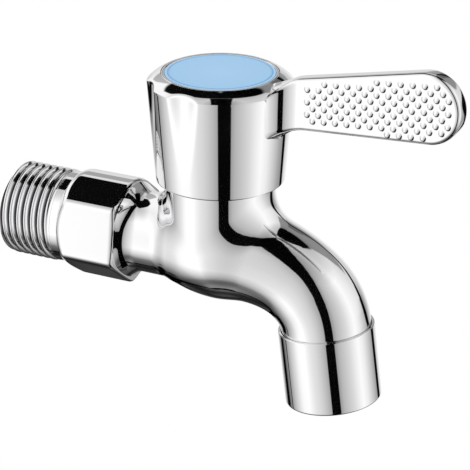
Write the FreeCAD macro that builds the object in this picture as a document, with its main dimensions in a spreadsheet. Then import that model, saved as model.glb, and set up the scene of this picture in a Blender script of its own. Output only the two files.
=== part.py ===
"""Quarter-turn bib tap with a lever handle, built as separate parts, in millimetres.

The origin is the centre of the inlet's end face. +X runs along the inlet towards the tap
and +Z is up. The handle turns about a vertical axis at x = hub_x.
"""
import FreeCAD, Part
import math
import os
import re

import Sketcher
from FreeCAD import Placement, Rotation, Vector

SIZES = {
    # Inlet thread: G 1/2 parallel pipe thread
    "hub_x": 50.5,
    "thread_diameter": 20.955,
    "thread_pitch": 1.814,
    "thread_depth": 1.162,
    "thread_crest": 0.5,
    "thread_angle": 55.0,
    "thread_length": 13.0,
    "thread_lead_in": 0.4,
    # Spanner boss behind the thread
    "collar_radius": 10.2,
    "boss_start": 15.2,
    "boss_end": 29.6,
    "boss_flats": 22.2,
    "boss_roll": 8.5,
    "boss_top_flat": 11.3,
    "boss_barrel": 12.9,
    "boss_slope": 2.2,
    "boss_edge": 1.0,
    "boss_blend_length": 5.2,
    "boss_blend_height": 2.15,
    # Cast body
    "waist_radius": 8.95,
    "waist_x": 37.8,
    "waist_length": 5.0,
    "belly_x": 52.0,
    "belly_width": 12.3,
    "belly_depth": 11.1,
    "bend_first_pull": 12.0,
    "bend_last_pull": 9.0,
    "bend_radius": 9.55,
    "spout_radius": 9.75,
    "neck_radius": 11.9,
    "neck_top": 19.0,
    "neck_fillet": 6.0,
    # Outlet: place, tilt and size of the sleeve
    "outlet_x": 75.93,
    "outlet_drop": 13.5,
    "outlet_tilt": 7.28,
    "sleeve_radius": 10.45,
    "sleeve_length": 16.75,
    "sleeve_bore": 9.85,
    "sleeve_top_bevel": 0.25,
    "sleeve_end_bevel": 0.4,
    "sleeve_lip_radius": 8.5,
    "spout_insert": 9.5,
    # Waterway
    "inlet_bore": 7.2,
    "inlet_bore_length": 29.0,
    "feed_bore": 4.5,
    "feed_overrun": 3.4,
    "riser_bore": 4.0,
    "chamber_radius": 8.4,
    "chamber_floor": 6.2,
    "port_radius": 3.8,
    "port_offset": 6.0,
    "port_rise": 2.4,
    "outlet_knee": 7.5,
    "outlet_cone": 4.5,
    "outlet_bore": 6.6,
    # Aerator in the outlet
    "washer_thickness": 1.5,
    "aerator_flange": 1.2,
    "aerator_radius": 8.9,
    "aerator_wall": 1.0,
    "aerator_length": 5.0,
    "aerator_lip": 0.6,
    "insert_height": 2.6,
    "insert_hole": 0.72,
    "screen_thickness": 0.3,
    "screen_hole": 0.95,
    "screen_pitch": 1.45,
    # Headwork stack, from the seat up
    "seal_height": 2.0,
    "seal_radius": 6.6,
    "retainer_radius": 7.6,
    "cage_radius": 7.0,
    "cage_outer": 7.9,
    "disc_radius": 6.85,
    "fixed_disc_height": 2.4,
    "turning_disc_height": 2.2,
    "disc_port_inner": 1.6,
    "disc_port_outer": 5.4,
    "disc_port_angle": 80.0,
    "foot_radius": 6.3,
    "foot_height": 2.0,
    "tongue_width": 2.5,
    "tongue_length": 9.0,
    "tongue_height": 0.9,
    "thrust_height": 0.55,
    "face_gap": 0.04,
    # Bonnet
    "bonnet_radius": 8.3,
    "bonnet_washer_height": 0.8,
    "bonnet_flats": 19.0,
    "bonnet_flange": 3.0,
    "guide_radius": 5.6,
    "guide_height": 3.2,
    # Spindle
    "spindle_radius": 3.7,
    "spindle_top": 33.0,
    "running_fit": 0.05,
    "ring_groove_root": 2.45,
    "ring_groove_width": 1.7,
    "ring_cord": 1.2,
    "ring_low": 17.6,
    "ring_high": 20.6,
    "clip_thickness": 0.7,
    "clip_groove": 3.0,
    "clip_radius": 5.0,
    "spline_teeth": 20,
    "spline_depth": 0.35,
    "spline_length": 5.0,
    "screw_radius": 2.0,
    "screw_length": 8.0,
    # Handle
    "handle_bottom": 16.08,
    "handle_bottom_radius": 13.82,
    "handle_shoulder": 37.9,
    "handle_shoulder_radius": 15.5,
    "handle_top": 39.88,
    "skirt_bore": 12.45,
    "web_bottom": 32.5,
    "web_thickness": 2.5,
    "socket_radius": 6.5,
    "socket_bottom": 28.2,
    "flute_radius": 9.0,
    "flute_reach": 14.36,
    "flute_first": 87.0,
    "flute_step": 45.0,
    "flute_count": 5,
    # Lever blade
    "lever_yaw": -7.0,
    "lever_front": 1.2,
    "lever_back": 2.6,
    "lever_tip_reach": 49.45,
    "lever_tip_height": 41.6,
    "lever_tip_radius": 7.4,
    "lever_root_reach": 19.2,
    "lever_root_top": 42.15,
    "lever_throat_reach": 21.4,
    "lever_throat_height": 31.3,
    "lever_foot_reach": 14.0,
    "lever_foot_top": 40.1,
    "lever_foot_bottom": 26.7,
    "lever_inner_reach": 11.0,
    "lever_inner_drop": 1.2,
    "lever_front_fillet": 6.0,
    "lever_back_fillet": 5.0,
    "lever_flare_fall": 0.5,
    "lever_sink": 0.02,
    # Index plug, disc and the screw under them
    "plug_radius": 12.48,
    "plug_plate": 0.78,
    "plug_skirt_radius": 10.4,
    "plug_skirt_length": 2.9,
    "disc_plate_radius": 12.12,
    "disc_plate": 0.6,
    "plug_seat": 38.5,
    "press_gap": 0.05,
    "screw_head_radius": 3.8,
    "screw_head_height": 2.3,
    "screw_washer_radius": 4.5,
    "screw_washer_height": 0.8,
}

doc = FreeCAD.newDocument("bib_tap")
sheet = doc.addObject("Spreadsheet::Sheet", "Sizes")
for row, (alias, number) in enumerate(SIZES.items(), start=1):
    sheet.set(f"A{row}", alias)
    sheet.set(f"B{row}", str(number))
    sheet.setAlias(f"B{row}", alias)
doc.recompute()
nodes = {}


def link(text):
    """Write an expression in the sheet's aliases as one that any object can use."""
    def named(word):
        return f"Sizes.{word.group()}" if word.group() in SIZES else word.group()
    return re.sub(r"[a-z][a-z_0-9]*", named, text)


def size(text):
    """The number that an expression in the sheet's aliases gives."""
    answer = sheet.evalExpression(link(text))
    return float(getattr(answer, "Value", answer))


def bind(thing, **expressions):
    """Bind properties of an object to the sheet; x, y and z stand for its place."""
    for name, text in expressions.items():
        path = f"Placement.Base.{name}" if name in ("x", "y", "z") else name
        thing.setExpression(path, link(text))
    return thing


def keep(label, thing):
    """Make an object a sub-part under its label."""
    thing.Label = label
    nodes[label] = thing
    return thing


def primitive(kind, name, **expressions):
    return bind(doc.addObject(f"Part::{kind}", name), **expressions)


def boolean(kind, name, base, tool):
    thing = doc.addObject(f"Part::{kind}", name)
    thing.Base = base
    thing.Tool = tool
    return thing


def joined(name, *pieces):
    thing = doc.addObject("Part::MultiFuse", name)
    thing.Shapes = list(pieces)
    return thing


def feature(name, shape, place=Placement()):
    """An object with a ready shape, which is drawn about the origin and put at its place."""
    thing = doc.addObject("Part::Feature", name)
    thing.Shape = shape
    thing.Placement = place
    return thing


def profile_sketch(body, name, plane, outline):
    """A closed sketch whose corners' distances from its axes are bound to the sheet."""
    sketch = body.newObject("Sketcher::SketchObject", name)
    support = next(f for f in body.Origin.OriginFeatures if f.Role == plane)
    sketch.AttachmentSupport = [(support, "")]
    sketch.MapMode = "FlatFace"
    corners = [Vector(size(across), size(up), 0) for across, up in outline]
    for start, end in zip(corners, corners[1:] + corners[:1]):
        sketch.addGeometry(Part.LineSegment(start, end))
    for edge in range(len(corners)):
        sketch.addConstraint(Sketcher.Constraint("Coincident", edge, 2, (edge + 1) % len(corners), 1))
    for edge, (across, up) in enumerate(outline):
        for kind, text, axis in (("DistanceX", across, -2), ("DistanceY", up, -1)):
            if text == "0":
                sketch.addConstraint(Sketcher.Constraint("PointOnObject", edge, 1, axis))
                continue
            number = sketch.addConstraint(Sketcher.Constraint(kind, -1, 1, edge, 1, size(text)))
            sketch.setExpression(f"Constraints[{number}]", link(text))
    return sketch


def turned(name, outline, base_z="0", base_x="hub_x"):
    """A body turned about its own vertical axis from an outline of (radius, height)."""
    body = doc.addObject("PartDesign::Body", name)
    sketch = profile_sketch(body, name + "_profile", "XZ_Plane", outline)
    turn = body.newObject("PartDesign::Revolution", name + "_turn")
    turn.Profile = sketch
    turn.ReferenceAxis = (sketch, ["V_Axis"])
    turn.Angle = 360
    sketch.Visibility = False
    return bind(body, x=base_x, z=base_z)


def ring(name, inner, outer, height, base_z="0", base_x="hub_x"):
    outline = [(inner, "0"), (outer, "0"), (outer, height), (inner, height)]
    return turned(name, outline, base_z, base_x)


def into_outlet(thing, depth="0"):
    """Stand an object in the outlet: its own +Z runs down the sleeve from the top edge."""
    bind(thing, x=f"outlet_x + ({depth}) * sin(outlet_tilt * 1 deg)",
         z=f"-outlet_drop - ({depth}) * cos(outlet_tilt * 1 deg)")
    thing.setExpression("Placement.Rotation.Axis.x", "0")
    thing.setExpression("Placement.Rotation.Axis.y", "1")
    thing.setExpression("Placement.Rotation.Axis.z", "0")
    thing.setExpression("Placement.Rotation.Angle", link("(180 - outlet_tilt) * 1 deg"))
    return thing


def outlet_axis():
    tilt = math.radians(size("outlet_tilt"))
    return Vector(math.sin(tilt), 0, -math.cos(tilt))


def outlet_point(depth):
    return Vector(size("outlet_x"), 0, -size("outlet_drop")) + outlet_axis() * depth


# Threaded shank

THREAD_SPLITS = 8
# The groove ends at -84 degrees, just after a split
THREAD_SPLIT_START = 4


def thread_groove():
    """The helical groove that leaves the thread, swept along a right-hand helix."""
    pitch = size("thread_pitch")
    top = size("thread_diameter / 2")
    bottom = top - size("thread_depth")
    overshoot = 0.4
    half_flank = math.tan(math.radians(size("thread_angle") / 2))
    half_top = (pitch - size("thread_crest")) / 2
    half_bottom = half_top - size("thread_depth") * half_flank
    half_over = half_top + overshoot * half_flank
    run_in = 1.1 * pitch
    run_out = -0.25 * pitch
    path = Part.makeHelix(pitch, run_in + size("thread_length") + run_out, bottom)
    corners = [Vector(bottom, 0, -half_bottom), Vector(top + overshoot, 0, -half_over),
               Vector(top + overshoot, 0, half_over), Vector(bottom, 0, half_bottom)]
    pipe = Part.BRepOffsetAPI.MakePipeShell(path)
    pipe.setFrenetMode(True)
    pipe.add(Part.makePolygon(corners + corners[:1]))
    pipe.build()
    pipe.makeSolid()
    groove = pipe.shape()
    groove.rotate(Vector(0, 0, 0), Vector(0, 1, 0), 90)
    groove.translate(Vector(-run_in, 0, 0))
    return groove


def threaded_shank():
    """The hollow threaded end, bevelled at its mouth and split in eighths of a turn."""
    radius, length = size("thread_diameter / 2"), size("thread_length")
    lead = size("thread_lead_in")
    centre, forward = Vector(0, 0, 0), Vector(1, 0, 0)
    behind = Vector(-1, 0, 0)
    bore = Part.makeCylinder(size("inlet_bore"), length + 2, behind, forward)
    bevel = Part.makeCone(radius - lead * 2, radius + lead, lead * 3, Vector(-lead, 0, 0), forward)
    rest = Part.makeCylinder(radius + lead, length, Vector(lead * 2, 0, 0), forward)
    blank = Part.makeCylinder(radius, length, centre, forward)
    thread = blank.cut(thread_groove()).cut(bore).common(bevel.fuse(rest))
    parts = []
    for number in range(THREAD_SPLITS):
        wedge = Part.makeCylinder(radius + 1, length + 2, behind, forward, 360 / THREAD_SPLITS)
        wedge.rotate(centre, forward, 360 * number / THREAD_SPLITS + THREAD_SPLIT_START)
        parts.append(thread.common(wedge))
    while len(parts) > 1:
        parts = [first.fuse(second) for first, second in zip(parts[::2], parts[1::2])]
    return parts[0]


# Spanner boss

def spanner_boss():
    """A hexagon with its top corner taken off, rounded at its ends and blended to the waist."""
    start, end = size("boss_start"), size("boss_end")
    reach, edge, slope = size("boss_barrel"), size("boss_edge"), size("boss_slope")
    blend, rise = size("boss_blend_length"), size("boss_blend_height")
    inside = size("waist_radius") - 0.1
    corner = size("boss_flats / 2") / math.cos(math.radians(30))
    roll = size("boss_roll")
    foot = end + blend + edge
    points = []
    for side in range(6):
        angle = math.radians(30 + roll + 60 * side)
        points.append(Vector(start, -corner * math.cos(angle), corner * math.sin(angle)))
    prism = Part.Face(Part.makePolygon(points + points[:1])).extrude(Vector(foot - start, 0, 0))
    wide = 4 * corner
    top = Part.makeBox(foot - start, wide, wide, Vector(start, -wide / 2, size("boss_top_flat")))
    top.rotate(Vector(0, 0, 0), Vector(1, 0, 0), -roll)
    outline = [Vector(start, 0, 0), Vector(start, 0, reach - slope), Vector(start + slope, 0, reach),
               Vector(end - edge, 0, reach), Vector(end, 0, reach - edge), Vector(end, 0, inside + rise),
               Vector(end + blend, 0, inside), Vector(foot, 0, inside), Vector(foot, 0, 0)]
    edges = [Part.LineSegment(a, b).toShape() for a, b in zip(outline, outline[1:] + outline[:1])]
    bulge = 1 - math.sin(math.radians(45))
    rounded = Vector(end - edge * bulge, 0, reach - edge * bulge)
    hollow = Vector(end + blend * bulge, 0, inside + rise * bulge)
    edges[3] = Part.Arc(outline[3], rounded, outline[4]).toShape()
    edges[5] = Part.Arc(outline[5], hollow, outline[6]).toShape()
    barrel = Part.Face(Part.Wire(edges)).revolve(Vector(0, 0, 0), Vector(1, 0, 0), 360)
    return prism.cut(top).common(barrel)


# Cast body from waist to spout

# How far the tube has swelled from waist to belly, at shares of the way there
BELLY_RISE = ((0.3, 0.38), (0.62, 0.8))
BEND_SHARES = (0.0, 0.25, 0.5, 0.75, 1.0)
# The belly's swelling fades out towards this share of the bend
FADE_END = 0.5
FADE_POWER = 1.5


def bend_point(share):
    """A point of the spout's centreline and its direction, on a cubic curve."""
    start = Vector(size("belly_x"), 0, 0)
    end = outlet_point(0)
    first = start + Vector(size("bend_first_pull"), 0, 0)
    last = end - outlet_axis() * size("bend_last_pull")
    back = 1 - share
    point = start * back**3 + first * 3 * back**2 * share + last * 3 * back * share**2 + end * share**3
    along = (first - start) * back**2 + (last - first) * 2 * back * share + (end - last) * share**2
    return point, along.normalize()


def body_section(centre, along, half_width, half_depth):
    """An oval across the centreline, at least as wide along Y as it is deep."""
    across = Vector(0, 1, 0)
    up = along.cross(across).normalize()
    wide = max(half_width, half_depth + 0.001)
    return Part.Wire(Part.Ellipse(centre + across * wide, centre + up * half_depth, centre).toShape())


def cast_tube():
    """The body's tube: waist, belly under the handle and the bent spout, as two lofts."""
    waist = size("waist_radius")
    width, depth = size("belly_width"), size("belly_depth")
    bend, spout = size("bend_radius"), size("spout_radius")
    forward = Vector(1, 0, 0)
    belly_x, waist_x = size("belly_x"), size("waist_x")
    stations = [(waist_x - size("waist_length"), waist, waist), (waist_x, waist, waist)]
    for share, rise in BELLY_RISE:
        stations.append((waist_x + (belly_x - waist_x) * share,
                         waist + (width - waist) * rise, waist + (depth - waist) * rise))
    sections = [body_section(Vector(x, 0, 0), forward, wide, deep) for x, wide, deep in stations]
    for share in BEND_SHARES:
        point, along = bend_point(share)
        fade = max(0.0, 1 - share / FADE_END)**FADE_POWER
        round_part = bend + (spout - bend) * share
        sections.append(body_section(point, along, round_part + (width - round_part) * fade,
                                     round_part + (depth - round_part) * fade))
    return Part.makeLoft(sections, True, False, False)


def cast_body():
    shank = threaded_shank()
    collar = Part.makeCylinder(size("collar_radius"), size("boss_start - thread_length"),
                               Vector(size("thread_length"), 0, 0), Vector(1, 0, 0))
    insert = Part.makeCylinder(size("sleeve_bore - press_gap"), size("spout_insert"), outlet_point(0),
                               outlet_axis())
    neck = Part.makeCylinder(size("neck_radius"), size("neck_top"), Vector(size("hub_x"), 0, 0))
    hull = cast_tube().fuse(neck)
    hull = with_neck_fillet(hull)
    return hull.multiFuse([shank, collar, spanner_boss(), insert])


def with_neck_fillet(hull):
    """Blend the neck into the tube where the two meet."""
    neck, top = size("neck_radius"), size("neck_top")
    hub_x = size("hub_x")
    close, clear = 0.02, 1.0
    meeting = []
    for edge in hull.Edges:
        points = edge.discretize(9)
        on_neck = all(abs(math.hypot(p.x - hub_x, p.y) - neck) < close for p in points)
        if on_neck and all(clear < p.z < top - clear for p in points):
            meeting.append(edge)
    return hull.makeFillet(size("neck_fillet"), meeting)


def waterway():
    """Everything the water runs through, as one tool shape."""
    hub_x, floor, over = size("hub_x"), size("chamber_floor"), 1.0
    forward = Vector(1, 0, 0)
    bore, bore_end = size("inlet_bore"), size("inlet_bore_length")
    feed_start, feed_end = bore_end - over, hub_x + size("feed_overrun")
    inlet = Part.makeCylinder(bore, bore_end + over, Vector(-over, 0, 0), forward)
    feed = Part.makeCylinder(size("feed_bore"), feed_end - feed_start, Vector(feed_start, 0, 0), forward)
    riser = Part.makeCylinder(size("riser_bore"), floor + over, Vector(hub_x, 0, 0))
    chamber = Part.makeCylinder(size("chamber_radius"), size("neck_top") - floor + over,
                                Vector(hub_x, 0, floor))
    knee_depth, cone_length = size("outlet_knee"), size("outlet_cone")
    port_start = Vector(hub_x + size("port_offset"), 0, floor + size("port_rise"))
    port_end = outlet_point(-knee_depth)
    port = Part.makeCylinder(size("port_radius"), (port_end - port_start).Length, port_start,
                             port_end - port_start)
    knee = Part.makeSphere(size("port_radius"), port_end)
    cone = Part.makeCone(size("port_radius"), size("outlet_bore"), cone_length, port_end, outlet_axis())
    cone_end = knee_depth - cone_length
    outlet = Part.makeCylinder(size("outlet_bore"), cone_end + size("spout_insert") + over,
                               outlet_point(-cone_end), outlet_axis())
    return inlet.multiFuse([feed, riser, chamber, port, knee, cone, outlet])


def make_tap_body():
    keep("tap_body", feature("tap_body", cast_body().cut(waterway())))


# Outlet sleeve and aerator

def make_outlet():
    seat = "spout_insert + washer_thickness"
    ledge = seat + " + aerator_flange"
    lip = seat + " + aerator_length + face_gap"
    sleeve = turned("outlet_sleeve", [
        ("sleeve_bore", "sleeve_top_bevel"), ("sleeve_bore + sleeve_top_bevel", "0"),
        ("sleeve_radius - sleeve_top_bevel", "0"), ("sleeve_radius", "sleeve_top_bevel"),
        ("sleeve_radius", "sleeve_length - sleeve_end_bevel"),
        ("sleeve_radius - sleeve_end_bevel", "sleeve_length"),
        ("sleeve_lip_radius + 0.2", "sleeve_length"), ("sleeve_lip_radius", lip),
        ("aerator_radius + 0.1", lip), ("aerator_radius + 0.1", ledge), ("sleeve_bore", ledge)])
    keep("outlet_sleeve", into_outlet(sleeve))
    washer = ring("outlet_washer", "outlet_bore + 0.2", "sleeve_bore - 0.15", "washer_thickness")
    keep("outlet_washer", into_outlet(washer, "spout_insert"))
    inner = "aerator_radius - aerator_wall"
    housing = turned("aerator_housing", [
        (inner, "0"), ("sleeve_bore - 0.15", "0"), ("sleeve_bore - 0.15", "aerator_flange"),
        ("aerator_radius", "aerator_flange"), ("aerator_radius", "aerator_length"),
        (inner + " - aerator_lip", "aerator_length"), (inner + " - aerator_lip", "aerator_length - aerator_lip"),
        (inner, "aerator_length - aerator_lip")])
    keep("aerator_housing", into_outlet(housing, seat))
    turn = Rotation(Vector(0, 1, 0), 180 - size("outlet_tilt"))
    disc_radius = size(inner) - 0.1
    screen_depth = size(seat + " + aerator_length - aerator_lip - screen_thickness - face_gap")
    screen = holed_disc(disc_radius, size("screen_thickness"), square_grid(disc_radius))
    keep("aerator_screen", feature("aerator_screen", screen, Placement(outlet_point(screen_depth), turn)))
    insert_depth = screen_depth - size("insert_height") - 0.3
    insert = holed_disc(disc_radius, size("insert_height"), hex_grid(disc_radius))
    keep("aerator_insert", feature("aerator_insert", insert, Placement(outlet_point(insert_depth), turn)))


def holed_disc(radius, height, wires):
    """A disc with a hole for each wire in it, extruded from one holed face."""
    rim = Part.Wire(Part.makeCircle(radius))
    return Part.Face([rim] + wires, "Part::FaceMakerBullseye").extrude(Vector(0, 0, height))


def square_grid(radius):
    """Square holes on a square grid, inside the rim."""
    pitch, half = size("screen_pitch"), size("screen_hole") / 2
    count = int(radius / pitch)
    wires = []
    for column in range(-count, count + 1):
        for line in range(-count, count + 1):
            x, y = column * pitch, line * pitch
            if math.hypot(abs(x) + half, abs(y) + half) < radius - 0.4:
                turns = ((-1, -1), (1, -1), (1, 1), (-1, 1))
                corners = [Vector(x + half * i, y + half * j, 0) for i, j in turns]
                wires.append(Part.makePolygon(corners + corners[:1]))
    return wires


def hex_grid(radius):
    """Round holes on a triangular grid, inside the rim."""
    hole = size("insert_hole")
    pitch = 2 * hole + 0.5
    count = int(radius / pitch) + 1
    wires = []
    for line in range(-count, count + 1):
        for column in range(-count, count + 1):
            x = (column + 0.5 * (line % 2)) * pitch
            y = line * pitch * math.sqrt(3) / 2
            if math.hypot(x, y) + hole < radius - 0.5:
                wires.append(Part.Wire(Part.makeCircle(hole, Vector(x, y, 0))))
    return wires


# Headwork: seal, discs, bonnet and spindle

DISC_BASE = "chamber_floor + seal_height"
TURNING_BASE = DISC_BASE + " + fixed_disc_height + face_gap"
FOOT_BASE = TURNING_BASE + " + turning_disc_height"
SHOULDER = FOOT_BASE + " + foot_height + thrust_height + 2 * face_gap"
BONNET_SEAT = "neck_top + bonnet_washer_height"
GUIDE_TOP = BONNET_SEAT + " + bonnet_flange + guide_height"
CAGE_BASE = DISC_BASE + " - 0.8"


def ports(name, base, height, first_angle):
    """Two opposite sectors, as the tool that cuts a disc's ports."""
    sectors = []
    for half in range(2):
        outer = primitive("Cylinder", f"{name}_outer{half}", Radius="disc_port_outer", Height=height,
                          Angle="disc_port_angle", x="hub_x", z=base)
        inner = primitive("Cylinder", f"{name}_inner{half}", Radius="disc_port_inner", Height=height,
                          Angle="360", x="hub_x", z=base)
        for tool in (outer, inner):
            tool.setExpression("Placement.Rotation.Angle",
                               link(f"({first_angle} - disc_port_angle / 2 + 180 * {half}) * 1 deg"))
        sectors.append(boolean("Cut", f"{name}_sector{half}", outer, inner))
    return joined(name, *sectors)


def block(name, length, width, height, base):
    """A box centred on the handle's axis, standing on a height."""
    return primitive("Box", name, Length=length, Width=width, Height=height,
                     x=f"hub_x - ({length}) / 2", y=f"-({width}) / 2", z=base)


def make_seal():
    keep("seat_seal", ring("seat_seal", "riser_bore + 0.3", "seal_radius", "seal_height", "chamber_floor"))
    keep("seal_retainer", ring("seal_retainer", "seal_radius + press_gap", "retainer_radius",
                               "seal_height - 0.85", "chamber_floor"))


def make_discs():
    plate = ring("fixed_disc_plate", "0", "disc_radius", "fixed_disc_height", DISC_BASE)
    lugs = block("fixed_disc_lugs", "2 * retainer_radius", "2", "fixed_disc_height", DISC_BASE)
    cut = boolean("Cut", "fixed_disc", joined("fixed_disc_blank", plate, lugs),
                  ports("fixed_ports", DISC_BASE, "fixed_disc_height", 90))
    keep("fixed_disc", cut)
    plate = ring("turning_disc_plate", "0", "disc_radius - 0.2", "turning_disc_height", TURNING_BASE)
    slot = block("turning_disc_slot", "tongue_width + 0.1", "tongue_length + 0.1", "tongue_height + 0.1",
                 FOOT_BASE + " - tongue_height - 0.1")
    tools = joined("turning_disc_tools", slot, ports("turning_ports", TURNING_BASE, "turning_disc_height", 0))
    keep("turning_disc", boolean("Cut", "turning_disc", plate, tools))


def make_bonnet():
    shoulder, top = f"({SHOULDER})", f"({GUIDE_TOP})"
    base = f"({CAGE_BASE})"
    bore = "spindle_radius + running_fit"
    barrel = turned("bonnet_barrel", [
        ("cage_radius", "0"), ("cage_outer", "0"), ("cage_outer", f"{shoulder} - {base}"),
        ("bonnet_radius", f"{shoulder} - {base} + 0.4"), ("bonnet_radius", f"{BONNET_SEAT} - {base} + 1"),
        ("guide_radius", f"{BONNET_SEAT} - {base} + 1"), ("guide_radius", f"{top} - {base} - 0.4"),
        ("guide_radius - 0.4", f"{top} - {base}"), (bore, f"{top} - {base}"),
        (bore, f"{shoulder} - {base}"), ("cage_radius", f"{shoulder} - {base}")], CAGE_BASE)
    hexagon = primitive("Prism", "bonnet_hexagon", Circumradius="bonnet_flats / 2 / cos(30 deg)",
                        Height="bonnet_flange", x="hub_x", z=BONNET_SEAT)
    hexagon.Polygon = 6
    bore_tool = primitive("Cylinder", "bonnet_bore", Radius=bore, Height="bonnet_flange", x="hub_x",
                          z=BONNET_SEAT)
    windows = block("bonnet_windows", "7", "2 * bonnet_radius", "foot_height + 0.3",
                    f"{FOOT_BASE} - 0.1")
    slots = block("bonnet_slots", "2 * bonnet_radius", "2.2", "fixed_disc_height + 0.9", CAGE_BASE)
    blank = joined("bonnet_blank", barrel, hexagon)
    keep("bonnet", boolean("Cut", "bonnet", blank, joined("bonnet_tools", bore_tool, windows, slots)))
    keep("bonnet_washer", ring("bonnet_washer", "chamber_radius + 0.1", "bonnet_flats / 2 + 0.9",
                               "bonnet_washer_height", "neck_top"))
    keep("thrust_washer", ring("thrust_washer", "spindle_radius + 0.1", "foot_radius + 0.2",
                               "thrust_height", f"{FOOT_BASE} + foot_height + face_gap"))


def spline(name, tip_radius, root_radius, bottom, top, hole=0.0):
    """A toothed prism on the handle's axis, with a round hole through it where one is asked for."""
    teeth = int(size("spline_teeth"))
    corners = []
    for tooth in range(teeth):
        for share, radius in ((0.0, tip_radius), (0.28, tip_radius), (0.5, root_radius), (0.78, root_radius)):
            angle = 2 * math.pi * (tooth + share) / teeth
            corners.append(Vector(radius * math.cos(angle), radius * math.sin(angle), 0))
    prism = Part.Face(Part.makePolygon(corners + corners[:1])).extrude(Vector(0, 0, top - bottom))
    if hole:
        prism = prism.cut(Part.makeCylinder(hole, top - bottom))
    return feature(name, prism, Placement(Vector(size("hub_x"), 0, bottom), Rotation()))


def make_spindle():
    clip_base = f"({GUIDE_TOP}) + 0.1"
    base = f"({FOOT_BASE})"

    def above(text):
        return f"{text} - {base}"
    half_groove = "ring_groove_width / 2"
    outline = [("0", "0"), ("foot_radius", "0"), ("foot_radius", "foot_height"),
               ("spindle_radius", "foot_height")]
    for height in ("ring_low", "ring_high"):
        outline += [("spindle_radius", above(f"{height} - {half_groove}")),
                    ("ring_groove_root", above(f"{height} - {half_groove}")),
                    ("ring_groove_root", above(f"{height} + {half_groove}")),
                    ("spindle_radius", above(f"{height} + {half_groove}"))]
    outline += [("spindle_radius", above(clip_base)), ("clip_groove", above(clip_base)),
                ("clip_groove", above(f"{clip_base} + clip_thickness + 0.05")),
                ("spindle_radius", above(f"{clip_base} + clip_thickness + 0.05")),
                ("spindle_radius", above("spindle_top - spline_length")),
                ("spindle_radius - spline_depth", above("spindle_top - spline_length")),
                ("spindle_radius - spline_depth", above("spindle_top")), ("screw_radius", above("spindle_top")),
                ("screw_radius", above("spindle_top - screw_length")),
                ("0", above("spindle_top - screw_length - 1.2"))]
    shaft = turned("spindle_shaft", outline, FOOT_BASE)
    tongue = block("spindle_tongue", "tongue_width", "tongue_length", "tongue_height + 0.5",
                   FOOT_BASE + " - tongue_height")
    tip = size("spindle_radius")
    root = tip - size("spline_depth")
    teeth = spline("spindle_teeth", tip, root, size("spindle_top - spline_length"), size("spindle_top"),
                   size("screw_radius"))
    keep("spindle", joined("spindle", shaft, tongue, teeth))
    rings = []
    for number, height in enumerate(("ring_low", "ring_high")):
        rings.append(primitive("Torus", f"o_ring{number}", Radius1="ring_groove_root + ring_cord / 2 + 0.02",
                               Radius2="ring_cord / 2", x="hub_x", z=height))
    pair = doc.addObject("Part::Compound", "spindle_o_rings")
    pair.Links = rings
    keep("spindle_o_rings", pair)
    clip = ring("circlip_ring", "clip_groove + press_gap", "clip_radius", "clip_thickness", clip_base)
    gap = primitive("Box", "circlip_gap", Length="clip_radius + 1", Width="clip_groove * 1.5",
                    Height="clip_thickness", x="hub_x", y="-clip_groove * 0.75", z=clip_base)
    keep("circlip", boolean("Cut", "circlip", clip, gap))


# Handle and what closes it

# Where the tip's arc starts and ends at first; the tangent constraints settle both
TIP_GUESS = (102, -84)


def handle_hub():
    """The turned hub of the handle, still solid, with its bevelled top."""
    top_radius = "plug_radius + press_gap"
    rim = "handle_top - handle_bottom - 0.03"
    hub = turned("handle_hub", [
        ("0", "0"), ("handle_bottom_radius - 0.2", "0"), ("handle_bottom_radius", "0.2"),
        ("handle_shoulder_radius", "handle_shoulder - handle_bottom"), (top_radius, rim), ("0", rim)],
        "handle_bottom")
    hub.setExpression("Placement.Rotation.Angle", link("(lever_yaw + 180) * 1 deg"))
    return hub


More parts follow.
